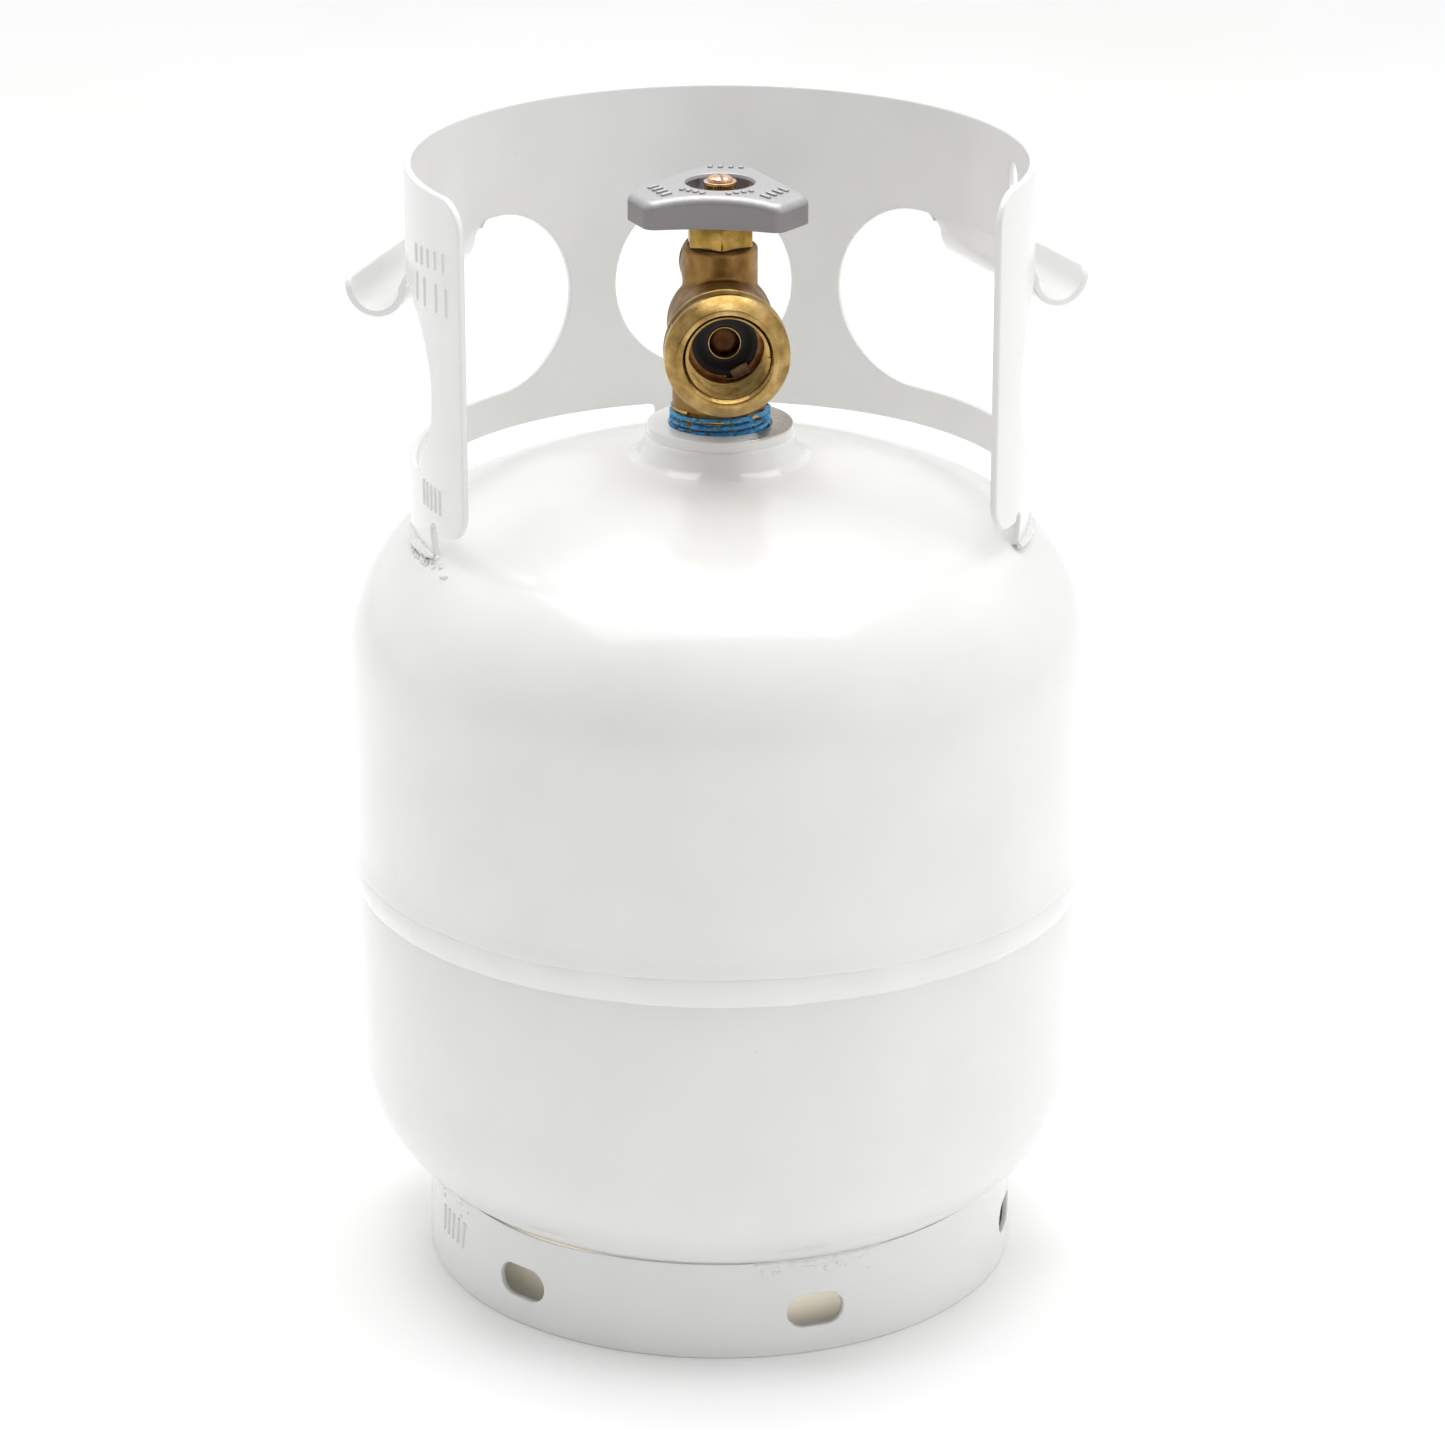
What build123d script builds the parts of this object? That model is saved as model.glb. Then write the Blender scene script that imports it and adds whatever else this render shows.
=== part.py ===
# A small refillable propane tank: a welded steel cylinder with a guard collar and a foot ring,
# a forged brass valve with a handwheel, and the overfill float that hangs inside.
# Millimetres. +Z is up, the origin is on the floor under the centre, and the outlet faces -Y.
import os
from math import acos, cos, degrees, radians, sin, sqrt

from build123d import *

os.makedirs("parts", exist_ok=True)

# ---- cylinder shells ----
body_radius = 101.6  # outside of the upper shell
lower_inset = 0.6  # the lower shell is this much smaller
wall = 2.1
knuckle_radius = 44.4  # outside, where a head turns into the side
crown_radius = 186.0  # outside, over the middle of a head
ground_clearance = 8.796  # under the lower head
lower_side = 55.0  # from the lower head's tangent up to the seam
upper_side = 57.0  # from the seam up to the upper head's tangent
seam_height = 7.7
seam_flare = 1.0  # the upper shell opens over the lap
flare_height = 6.5
lap_height = 10.0  # how far the lower shell runs up inside
lap_clearance = 0.2
bead_crown = 1.3  # the seam weld stands proud of the lower shell

# ---- heights of the cylinder ----
lower_radius = body_radius - lower_inset
head_offset = crown_radius - knuckle_radius
lower_head = crown_radius - sqrt(head_offset**2 - (lower_radius - knuckle_radius) ** 2)
upper_head = crown_radius - sqrt(head_offset**2 - (body_radius - knuckle_radius) ** 2)
lower_tangent_z = ground_clearance + lower_head
seam_top_z = lower_tangent_z + lower_side  # lower edge of the upper shell
upper_tangent_z = seam_top_z + upper_side
dome_z = upper_tangent_z + upper_head

# ---- foot ring ----
foot_radius = 82.4
foot_wall = 2.0
foot_slot_count = 6
foot_slot_length = 16.0
foot_slot_height = 9.5
foot_slot_z = 12.65
foot_slot_azimuth = 15.0

# ---- guard collar ----
collar_radius = 84.0
collar_wall = 2.0
collar_lift = 7.6317  # from the feet up to the lower edge
collar_height = 92.9  # over the lower edge
front_opening = 56.6  # half angle of the opening over the outlet
collar_corner = 9.0
window_height = 51.0
window_rise = 36.5  # from the lower edge up to the middle of the windows
side_window_start = 68.3
side_window_end = 152.5
foot_half_angle = 9.7
front_foot_end = 87.7
relief_notch = 2.0
tag_hole_radius = 4.0
tag_hole_azimuth = 102.0
tag_hole_drop = 11.4  # below the upper edge

# ---- hand lips of the collar ----
lip_azimuth = 110.4
lip_half_angle = 20.0
lip_bend_radius = 7.6  # to the middle of the sheet
lip_bend_drop = 4.5  # below the top of the windows
lip_sweep = 162.0
lip_tail = 4.0

# ---- welds ----
weld_size = 3.0
foot_weld_azimuths = (15.0, 105.0, 195.0, 285.0)
foot_weld_angle = 16.0

# ---- valve boss ----
boss_radius = 19.75
boss_rise = 7.5327  # over the top of the head
boss_top_z = dome_z + boss_rise
boss_depth = 17.0
boss_weld_radius = 25.25
boss_weld_height = 4.6

# ---- valve body ----
thread_radius = 13.35  # 3/4 in tapered gas thread
thread_bottom_z = boss_top_z - 19.0
thread_top_z = boss_top_z + 5.0
sealant_thickness = 0.35
barrel_radius = 12.9
barrel_top_z = boss_top_z + 40.0
neck_radius = 9.8
neck_top_z = boss_top_z + 49.5
neck_chamfer = 0.6
outlet_z = boss_top_z + 27.8
outlet_front = 36.5  # from the tank's axis to the outlet's lip
outlet_radius = 16.67  # 1-5/16 in external ACME thread
outlet_lip_radius = 13.4
outlet_pitch = 5.08
outlet_thread_depth = 2.4
outlet_barrel_radius = 14.3
outlet_bore_radius = 10.26  # 0.885-14 internal thread, left hand
outlet_bore_mouth = 11.4
outlet_bore_depth = 19.5
relief_z = boss_top_z + 38.0
relief_housing_radius = 10.5
relief_back = 24.0
relief_bore_radius = 5.4
relief_seat_y = 11.0
relief_orifice_radius = 3.0
relief_passage_y = 8.8
relief_passage_radius = 1.6
chamber_radius = 6.05
seat_z = boss_top_z + 21.0
inlet_radius = 3.2
port_radius = 2.0
port_z = boss_top_z + 25.0

# ---- fits ----
running_clearance = 0.05
fixed_clearance = 0.04  # between pieces that don't move on each other
seat_gap = 0.05
slide_gap = 0.4
tang_gap = 0.2

# ---- stem, plug and bonnet ----
stem_radius = 4.1
stem_flange_radius = 5.6
stem_flange_height = 1.6
bonnet_across_flats = 16.8
bonnet_height = 6.5
bonnet_thread_radius = 7.6
bonnet_thread_depth = 9.0
plug_lift = 3.0
plug_slot_depth = 8.0
tang_width = 7.0
tang_thickness = 2.4
oring_radius = 0.7
oring_heights = (neck_top_z - 5.0, neck_top_z - 2.0)
seat_disc_radius = 4.8
seat_disc_height = 2.0

# ---- handwheel ----
wheel_gap = 0.4  # over the bonnet nut
wheel_bottom_z = neck_top_z + bonnet_height + wheel_gap
wheel_height = 10.1
wheel_reach = 24.6
wheel_lobe_width = 15.0
wheel_waist = 15.9  # from the axis to the middle of a hollow side
wheel_corner = 3.5
wheel_edge = 2.2
wheel_skirt = 2.4
wheel_web = 3.4
wheel_turn = -8.5  # where the handwheel stands when the valve is shut
wheel_recess_radius = 9.5
wheel_recess_depth = 1.0
wheel_hub_radius = 7.2
spline_radius = 4.0
spline_teeth = 16
spline_rise = 0.6  # the stem's end stands over the floor of the recess
washer_radius = 4.4
washer_height = 0.7
screw_head_radius = 3.4
screw_head_height = 1.5
screw_radius = 1.5
screw_length = 7.0
screw_slot = 0.8

# ---- outlet check ----
check_tube_radius = 4.45
check_tube_wall = 0.4
check_tube_end = 9.4  # from the tank's axis
check_tube_rise = 0.4
check_poppet_depth = 2.8
check_poppet_height = 3.0
outlet_seal_radius = 9.9
outlet_seal_height = 3.1
retainer_groove = 1.2
retainer_groove_depth = 0.6
retainer_thickness = 1.0
retainer_inner = 8.7
retainer_gap = 34.0  # degrees
retainer_gap_start = 20.0
spring_wire = 0.6

# ---- relief valve inside ----
relief_seal_height = 1.5
relief_poppet_height = 2.4
relief_wire = 1.0
relief_retainer_height = 3.0
relief_cap_height = 2.5

# ---- bleed screw and dip tube ----
bleed_z = boss_top_z + 21.0
bleed_boss_radius = 4.6
bleed_boss_end = 14.6
bleed_radius = 2.4
bleed_depth = 2.2
bleed_head_radius = 3.2
bleed_head_height = 1.6
bleed_passage = 0.8
dip_tube_radius = 1.6
dip_tube_bore = 0.9
dip_tube_end_z = boss_top_z - 69.0
dip_tube_offset = 10.2
dip_tube_socket = 8.0

# ---- overfill float ----
housing_radius = 8.0
housing_bore = 5.0
housing_bottom_z = boss_top_z - 38.0
housing_spigot_radius = 6.0
housing_spigot = 8.0
shutter_seat_z = boss_top_z - 34.0
shutter_orifice = 3.2
shutter_height = 6.0
shutter_lift = 4.2
shutter_stem_radius = 1.5
shutter_groove = 1.2  # the gas passes the shutter in four grooves
pivot_y = 5.0
pivot_z = boss_top_z - 45.0
pin_radius = 1.25
hub_radius = 2.8
ear_gap = 6.6
ear_thickness = 2.0
ear_width = 7.0
arm_length = 46.0
arm_width = 6.0
arm_thickness = 2.0
arm_droop = 62.0  # below the level when the tank is empty
float_radius = 11.0
float_length = 38.0
float_edge = 4.0

lap_radius = body_radius - wall - lap_clearance
seam_bottom_z = seam_top_z - seam_height
bonnet_bottom_z = neck_top_z - bonnet_thread_depth
flange_top_z = bonnet_bottom_z - running_clearance
flange_bottom_z = flange_top_z - stem_flange_height
plug_top_z = flange_bottom_z - plug_lift - slide_gap
disc_bottom_z = seat_z + seat_gap
plug_bottom_z = disc_bottom_z + seat_disc_height
tang_end_z = plug_top_z - plug_slot_depth + plug_lift + slide_gap
wheel_top_z = wheel_bottom_z + wheel_height
recess_z = wheel_top_z - wheel_recess_depth
spline_top_z = recess_z + spline_rise
washer_top_z = spline_top_z + washer_height
bore_floor = outlet_front - outlet_bore_depth
seal_front = bore_floor + outlet_seal_height
check_tube_front = seal_front + check_tube_rise
check_tube_bore = check_tube_radius - check_tube_wall
lip_middle = collar_radius - collar_wall / 2
lip_width = 2 * lip_middle * sin(radians(lip_half_angle))
lip_flat = lip_middle * (1 + cos(radians(lip_half_angle))) / 2  # from the axis to the straight bend


def export(piece, name):
    """Label one finished piece and write it as its own file."""
    piece.part.label = name
    export_step(piece.part, f"parts/{name}.step")


def half_shell(radius, knuckle, crown, tangent_z, open_z):
    """Draw half the section of a cup with a dished end, filled to the axis."""
    turn = degrees(acos((radius - knuckle) / (crown - knuckle)))
    way = 1 if tangent_z > open_z else -1
    side = Polyline((0, open_z), (radius, open_z), (radius, tangent_z))
    bend = JernArc(start=side @ 1, tangent=(0, way), radius=knuckle, arc_size=way * turn)
    dome = JernArc(start=bend @ 1, tangent=bend % 1, radius=crown, arc_size=way * (90 - turn))
    Line(dome @ 1, (0, open_z))


def head_rise(radius, distance):
    """How far a head has risen above its straight side, at a distance from the axis."""
    join = (radius - knuckle_radius) * crown_radius / head_offset
    if distance < join:
        top = crown_radius - sqrt(head_offset**2 - (radius - knuckle_radius) ** 2)
        return top - crown_radius + sqrt(crown_radius**2 - distance**2)
    return sqrt(knuckle_radius**2 - (distance - radius + knuckle_radius) ** 2)


def at_azimuth(angle, distance, z):
    """A plane that faces out from the axis, at an angle from the front."""
    out = Vector(sin(radians(angle)), -cos(radians(angle)), 0)
    return Plane(origin=out * distance + Vector(0, 0, z), x_dir=out.rotate(Axis.Z, 90), z_dir=out)


def front_plane(distance, z):
    """A plane that faces the front, so that it extrudes towards -Y."""
    return Plane(origin=(0, -distance, z), x_dir=(1, 0, 0), z_dir=(0, -1, 0))


def back_plane(distance, z):
    """A plane that faces the back, so that it extrudes towards +Y."""
    return Plane(origin=(0, distance, z), x_dir=(-1, 0, 0), z_dir=(0, 1, 0))


def right_plane(distance, z, y=0):
    """A plane that faces the right, so that it extrudes towards +X."""
    return Plane(origin=(distance, y, z), x_dir=(0, 1, 0), z_dir=(1, 0, 0))


def rod(plane, radius, length, mode=Mode.ADD):
    """Add or cut a round bar that starts on a plane."""
    with BuildSketch(plane) as section:
        Circle(radius)
    extrude(section.sketch, amount=length, mode=mode)


def tube(plane, radius, bore, length, mode=Mode.ADD):
    """Add or cut a ring that starts on a plane."""
    with BuildSketch(plane) as section:
        Circle(radius)
        Circle(bore, mode=Mode.SUBTRACT)
    extrude(section.sketch, amount=length, mode=mode)


def wedge(plane, radius, start, end, length, mode):
    """Add, cut or keep a sector of a disc between two angles from the front."""
    with BuildSketch(plane) as section:
        with BuildLine():
            arc = CenterArc((0, 0), radius, start - 90, end - start)
            Polyline(arc @ 1, (0, 0), arc @ 0)
        make_face()
    extrude(section.sketch, amount=length, mode=mode)


def coil(plane, radius, wire, turns, length):
    """Add a compression spring that stands on a plane."""
    pitch = (length - 2 * wire) / turns
    path = Helix(pitch=pitch, height=pitch * turns, radius=radius)
    path = plane.from_local_coords(Pos(0, 0, wire) * path)
    with BuildSketch(Plane(origin=path @ 0, z_dir=path % 0)) as section:
        Circle(wire / 2)
    sweep(section.sketch, path=path)


# ---- filled outsides of the two shells, for what is cut to sit on them ----
with BuildPart() as upper_outside:
    with BuildSketch(Plane.XZ):
        with BuildLine():
            half_shell(body_radius, knuckle_radius, crown_radius, upper_tangent_z, seam_top_z)
        make_face()
    revolve(axis=Axis.Z)

with BuildPart() as lower_outside:
    with BuildSketch(Plane.XZ):
        with BuildLine():
            half_shell(lower_radius, knuckle_radius, crown_radius, lower_tangent_z, seam_bottom_z)
        make_face()
    revolve(axis=Axis.Z)

# ---- upper shell: deep drawn cup, its edge opened over the lap, with the hole for the boss ----
with BuildPart() as upper_shell:
    add(upper_outside.part)
    with BuildSketch(Plane.XZ):
        with BuildLine():
            flare_top = seam_top_z + flare_height
            Polyline(
                (body_radius, flare_top),
                (body_radius + seam_flare, seam_top_z),
                (body_radius - wall, seam_top_z),
                (body_radius - wall, flare_top),
                (body_radius, flare_top),
            )
        make_face()
    revolve(axis=Axis.Z)
    with BuildSketch(Plane.XZ):
        with BuildLine():
            half_shell(
                body_radius - wall,
                knuckle_radius - wall,
                crown_radius - wall,
                upper_tangent_z,
                seam_top_z,
            )
        make_face()
    revolve(axis=Axis.Z, mode=Mode.SUBTRACT)
    rod(Plane.XY.offset(upper_tangent_z), boss_radius + fixed_clearance, boss_top_z, Mode.SUBTRACT)
export(upper_shell, "upper_shell")

# ---- lower shell: its edge is drawn in and runs up inside the upper shell ----
with BuildPart() as lower_shell:
    add(lower_outside.part)
    with BuildSketch(Plane.XZ):
        with BuildLine():
            Polyline(
                (0, seam_bottom_z),
                (lower_radius, seam_bottom_z),
                (lap_radius, seam_top_z - wall),
                (lap_radius, seam_top_z + lap_height),
                (0, seam_top_z + lap_height),
                (0, seam_bottom_z),
            )
        make_face()
    revolve(axis=Axis.Z)
    with BuildSketch(Plane.XZ):
        with BuildLine():
            half_shell(
                lower_radius - wall,
                knuckle_radius - wall,
                crown_radius - wall,
                lower_tangent_z,
                seam_bottom_z,
            )
        make_face()
    revolve(axis=Axis.Z, mode=Mode.SUBTRACT)
    with BuildSketch(Plane.XZ):
        with BuildLine():
            Polyline(
                (0, seam_bottom_z),
                (lower_radius - wall, seam_bottom_z),
                (lap_radius - wall, seam_top_z - wall),
                (lap_radius - wall, seam_top_z + lap_height),
                (0, seam_top_z + lap_height),
                (0, seam_bottom_z),
            )
        make_face()
    revolve(axis=Axis.Z, mode=Mode.SUBTRACT)
export(lower_shell, "lower_shell")

# ---- seam weld: a crowned bead that fills the step between the shells ----
with BuildPart() as girth_weld:
    with BuildSketch(Plane.XZ):
        with BuildLine():
            top = (body_radius + seam_flare, seam_top_z)
            middle = (lower_radius + bead_crown, (seam_top_z + seam_bottom_z) / 2)
            ThreePointArc(top, middle, (lower_radius, seam_bottom_z))
            root = (lap_radius, seam_top_z - wall)
            Polyline((lower_radius, seam_bottom_z), root, (lap_radius, seam_top_z), top)
        make_face()
    revolve(axis=Axis.Z)
export(girth_weld, "girth_weld")

# ---- valve boss: a threaded steel ring welded into the head ----
with BuildPart() as valve_boss:
    with BuildSketch(Plane.XY.offset(boss_top_z - boss_depth)):
        Circle(boss_radius)
        Circle(thread_radius + fixed_clearance, mode=Mode.SUBTRACT)
    extrude(amount=boss_depth)
    chamfer(valve_boss.edges().group_by(Axis.Z)[-1], length=0.4)
export(valve_boss, "valve_boss")

with BuildPart() as boss_weld:
    with BuildSketch(Plane.XZ):
        with BuildLine():
            inner = boss_radius + fixed_clearance
            crest_z = upper_tangent_z + 2 * boss_weld_height
            side = Line((inner, crest_z), (inner, dome_z + boss_weld_height))
            foot = (boss_weld_radius, dome_z - boss_weld_height / 2)
            RadiusArc(side @ 1, foot, 2 * boss_weld_height)
            Polyline(foot, (boss_weld_radius, crest_z), side @ 0)
        make_face()
    revolve(axis=Axis.Z)
    add(upper_outside.part, mode=Mode.SUBTRACT)
export(boss_weld, "boss_weld")

# ---- foot ring: a rolled band with vent slots, cut square where it meets the head ----
foot_top_z = lower_tangent_z - head_rise(lower_radius, foot_radius - foot_wall)
with BuildPart() as foot_ring:
    tube(Plane.XY, foot_radius, foot_radius - foot_wall, foot_top_z - fixed_clearance)
    for slot in range(foot_slot_count):
        azimuth = foot_slot_azimuth + slot * 360 / foot_slot_count
        with BuildSketch(at_azimuth(azimuth, foot_radius / 2, foot_slot_z)):
            SlotOverall(foot_slot_length, foot_slot_height)
        extrude(amount=foot_radius, mode=Mode.SUBTRACT)
export(foot_ring, "foot_ring")

with BuildPart() as foot_ring_welds:
    with BuildSketch(Plane.XZ):
        with Locations((foot_radius, foot_top_z)):
            Circle(weld_size)
    revolve(axis=Axis.Z)
    tube(Plane.XY, body_radius, 0.1, foot_top_z, Mode.SUBTRACT)
    add(lower_outside.part, mode=Mode.SUBTRACT)
    gap = 360 / len(foot_weld_azimuths) - foot_weld_angle
    for azimuth in foot_weld_azimuths:
        start = azimuth + foot_weld_angle / 2
        wedge(Plane.XY, 2 * body_radius, start, start + gap, lower_tangent_z, Mode.SUBTRACT)
    inside = foot_radius - foot_wall
    rod(Plane.XY, inside, lower_tangent_z, Mode.SUBTRACT)
export(foot_ring_welds, "foot_ring_welds")

# ---- guard collar: a rolled sheet on three feet, with three windows and two hand lips ----
collar_inner = collar_radius - collar_wall
collar_foot_z = upper_tangent_z + head_rise(body_radius, collar_inner) + fixed_clearance
collar_bottom_z = collar_foot_z + collar_lift
collar_top_z = collar_bottom_z + collar_height
window_radius = window_height / 2
window_turn = degrees(window_radius / collar_radius)
window_z = collar_bottom_z + window_rise
lip_bend_z = window_z + window_radius - lip_bend_drop
tag_hole_z = collar_top_z - tag_hole_drop
with BuildPart() as collar:
    tube(Plane.XY.offset(collar_foot_z), collar_radius, collar_inner, collar_top_z - collar_foot_z)
    wedge(Plane.XY, 2 * collar_radius, -front_opening, front_opening, collar_top_z, Mode.SUBTRACT)
    # the corners of the two posts
    front_edges = collar.edges().filter_by(Axis.Z, reverse=True).filter_by(GeomType.LINE)
    fillet(front_edges.group_by(Axis.Z)[-1], radius=collar_corner)
    # between the feet the lower edge clears the head
    low = Plane.XY.offset(collar_foot_z)
    rise = collar_bottom_z - collar_foot_z
    behind = 180 - foot_half_angle
    wedge(low, 2 * collar_radius, -side_window_start, side_window_start, rise, Mode.SUBTRACT)
    wedge(low, 2 * collar_radius, front_foot_end, behind, rise, Mode.SUBTRACT)
    wedge(low, 2 * collar_radius, -behind, -front_foot_end, rise, Mode.SUBTRACT)
    level_edges = collar.edges().filter_by(Axis.Z, reverse=True).filter_by(GeomType.LINE)
    low_edges = level_edges.filter_by_position(Axis.Z, collar_bottom_z - 0.1, collar_bottom_z + 0.1)
    fillet(low_edges.sort_by(Axis.Y)[:2], radius=collar_corner)
    through = collar_radius
    for azimuth in (-side_window_start, side_window_start):
        notch_plane = at_azimuth(azimuth, collar_radius / 2, collar_bottom_z)
        rod(notch_plane, relief_notch, through, Mode.SUBTRACT)
    # rear window, then the side windows with their round ends
    rod(at_azimuth(180, collar_radius / 2, window_z), window_radius, through, Mode.SUBTRACT)
    first = side_window_start + window_turn
    last = side_window_end - window_turn
    for side in (-1, 1):
        for azimuth in (first, last):
            end_plane = at_azimuth(side * azimuth, collar_radius / 2, window_z)
            rod(end_plane, window_radius, through, Mode.SUBTRACT)
        ends = sorted((side * first, side * last))
        window_low = Plane.XY.offset(window_z - window_radius)
        wedge(window_low, 2 * collar_radius, *ends, window_height, Mode.SUBTRACT)
    tag_plane = at_azimuth(tag_hole_azimuth, collar_radius / 2, tag_hole_z)
    rod(tag_plane, tag_hole_radius, through, Mode.SUBTRACT)
    # hand lips: the sheet runs from round to straight, then turns out and up along a straight bend
    for side in (-1, 1):
        out = Vector(sin(radians(side * lip_azimuth)), -cos(radians(side * lip_azimuth)), 0)
        with BuildSketch(Plane(origin=(0, 0, window_z + window_radius), x_dir=out, z_dir=(0, 0, 1))):
            with BuildLine():
                inner_arc = CenterArc((0, 0), collar_inner, -lip_half_angle, 2 * lip_half_angle)
                outer_arc = CenterArc((0, 0), collar_radius, -lip_half_angle, 2 * lip_half_angle)
                Line(inner_arc @ 0, outer_arc @ 0)
                Line(inner_arc @ 1, outer_arc @ 1)
            make_face()
        with BuildSketch(Plane(origin=(0, 0, lip_bend_z), x_dir=out, z_dir=(0, 0, 1))):
            with Locations((lip_flat, 0)):
                Rectangle(collar_wall, lip_width)
        loft()
        lip_plane = Plane(origin=(0, 0, 0), x_dir=out, z_dir=out.rotate(Axis.Z, -90))
        with BuildSketch(lip_plane):
            with BuildLine():
                edges = []
                for offset_from_middle in (-collar_wall / 2, collar_wall / 2):
                    start = (lip_flat + offset_from_middle, lip_bend_z)
                    bend = JernArc(start, (0, -1), lip_bend_radius - offset_from_middle, lip_sweep)
                    edges.append((start, PolarLine(bend @ 1, lip_tail, direction=bend % 1) @ 1))
                Line(edges[0][0], edges[1][0])
                Line(edges[0][1], edges[1][1])
            make_face()
        extrude(amount=lip_width / 2, both=True)
export(collar, "collar")

with BuildPart() as collar_welds:
    with BuildSketch(Plane.XZ):
        with Locations((collar_radius, collar_foot_z - 1)):
            Circle(weld_size)
    revolve(axis=Axis.Z)
    add(upper_outside.part, mode=Mode.SUBTRACT)
    rod(Plane.XY, collar_radius + fixed_clearance, collar_top_z, Mode.SUBTRACT)
    gaps = (
        (front_foot_end, 180 - foot_half_angle),
        (180 + foot_half_angle, 360 - front_foot_end),
        (-side_window_start, side_window_start),
    )
    for start, end in gaps:
        wedge(Plane.XY, 2 * collar_radius, start, end, collar_top_z, Mode.SUBTRACT)
export(collar_welds, "collar_welds")

# ---- valve body: one brass forging, bored from the top, the front, the back and below ----
with BuildPart() as valve_body:
    with BuildSketch(Plane.XZ):
        with BuildLine():
            shoulder_z = barrel_top_z - barrel_radius + neck_radius
            Polyline(
                (0, thread_bottom_z),
                (thread_radius, thread_bottom_z),
                (thread_radius, thread_top_z),
                (barrel_radius, thread_top_z),
                (barrel_radius, shoulder_z),
                (neck_radius, barrel_top_z),
                (neck_radius, neck_top_z - neck_chamfer),
                (neck_radius - neck_chamfer, neck_top_z),
                (0, neck_top_z),
                (0, thread_bottom_z),
            )
        make_face()
    revolve(axis=Axis.Z)
    rod(front_plane(0, outlet_z), outlet_barrel_radius, outlet_front - outlet_pitch / 2)
    with BuildSketch(Plane.YZ):
        with BuildLine():
            # half section of the threaded ring: a chamfered nose, then two crests
            crest = 0.37 * outlet_pitch
            flank = (outlet_pitch - 2 * crest) / 2
            root = outlet_radius - outlet_thread_depth
            nose = outlet_radius - outlet_lip_radius
            front = -outlet_front
            back = front + nose + 2 * crest + outlet_pitch
            Polyline(
                (front, outlet_z),
                (front, outlet_z + outlet_lip_radius),
                (front + nose, outlet_z + outlet_radius),
                (front + nose + crest, outlet_z + outlet_radius),
                (front + nose + crest + flank / 2, outlet_z + root),
                (front + nose + outlet_pitch - flank / 2, outlet_z + root),
                (front + nose + outlet_pitch, outlet_z + outlet_radius),
                (front + nose + outlet_pitch + crest, outlet_z + outlet_radius),
                (back, outlet_z + root),
                (back, outlet_z),
                (front, outlet_z),
            )
        make_face()
    revolve(axis=Axis((0, 0, outlet_z), (0, 1, 0)))
    rod(back_plane(0, relief_z), relief_housing_radius, relief_back)
    rod(right_plane(0, bleed_z), bleed_boss_radius, bleed_boss_end)
    # vertical bores: bonnet socket, plug chamber, inlet, and the socket of the float housing
    bonnet_socket = bonnet_thread_radius + fixed_clearance
    rod(Plane.XY.offset(bonnet_bottom_z), bonnet_socket, bonnet_thread_depth, Mode.SUBTRACT)
    rod(Plane.XY.offset(seat_z), chamber_radius, bonnet_bottom_z - seat_z, Mode.SUBTRACT)
    rod(Plane.XY.offset(thread_bottom_z), inlet_radius, seat_z - thread_bottom_z, Mode.SUBTRACT)
    spigot_socket = housing_spigot_radius + fixed_clearance
    rod(Plane.XY.offset(thread_bottom_z), spigot_socket, housing_spigot, Mode.SUBTRACT)
    # outlet bore, the groove of its retaining ring, the seat of its seal, the check's socket
    groove = seal_front + retainer_groove
    rod(front_plane(groove, outlet_z), outlet_bore_radius, outlet_front - groove, Mode.SUBTRACT)
    groove_radius = outlet_bore_radius + retainer_groove_depth
    rod(front_plane(seal_front, outlet_z), groove_radius, retainer_groove, Mode.SUBTRACT)
    seal_socket = outlet_seal_radius + fixed_clearance
    rod(front_plane(bore_floor, outlet_z), seal_socket, outlet_seal_height, Mode.SUBTRACT)
    check_length = bore_floor - check_tube_end
    check_socket = check_tube_radius + fixed_clearance
    rod(front_plane(check_tube_end, outlet_z), check_socket, check_length, Mode.SUBTRACT)
    rod(front_plane(0, port_z), port_radius, check_tube_end + port_radius, Mode.SUBTRACT)
    rings = valve_body.edges().filter_by(GeomType.CIRCLE)
    mouth = rings.filter_by_position(Axis.Y, -outlet_front - 0.01, -outlet_front + 0.01)
    chamfer(mouth.sort_by(SortBy.RADIUS)[0], length=outlet_bore_mouth - outlet_bore_radius)
    # relief valve: bore, orifice, and the passage that feeds it
    relief_depth = relief_back - relief_seat_y
    rod(back_plane(relief_seat_y, relief_z), relief_bore_radius, relief_depth, Mode.SUBTRACT)
    orifice_depth = relief_seat_y - relief_passage_y
    rod(back_plane(relief_passage_y, relief_z), relief_orifice_radius, orifice_depth, Mode.SUBTRACT)
    with BuildSketch(Plane.XY.offset(thread_bottom_z)):
        with Locations((0, relief_passage_y)):
            Circle(relief_passage_radius)
    extrude(amount=relief_z - thread_bottom_z, mode=Mode.SUBTRACT)
    # bleed passage, and the dip tube's socket
    with BuildSketch(Plane.XY.offset(thread_bottom_z)):
        with Locations((dip_tube_offset, 0)):
            Circle(dip_tube_bore)
    extrude(amount=bleed_z - thread_bottom_z, mode=Mode.SUBTRACT)
    with BuildSketch(Plane.XY.offset(thread_bottom_z)):
        with Locations((dip_tube_offset, 0)):
            Circle(dip_tube_radius + fixed_clearance)
    extrude(amount=dip_tube_socket, mode=Mode.SUBTRACT)
    bleed_floor = bleed_boss_end - bleed_depth
    bleed_socket = bleed_radius + running_clearance
    rod(right_plane(dip_tube_offset, bleed_z), bleed_passage, bleed_boss_radius, Mode.SUBTRACT)
    rod(right_plane(bleed_floor, bleed_z), bleed_socket, bleed_boss_radius, Mode.SUBTRACT)
export(valve_body, "valve_body")

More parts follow.
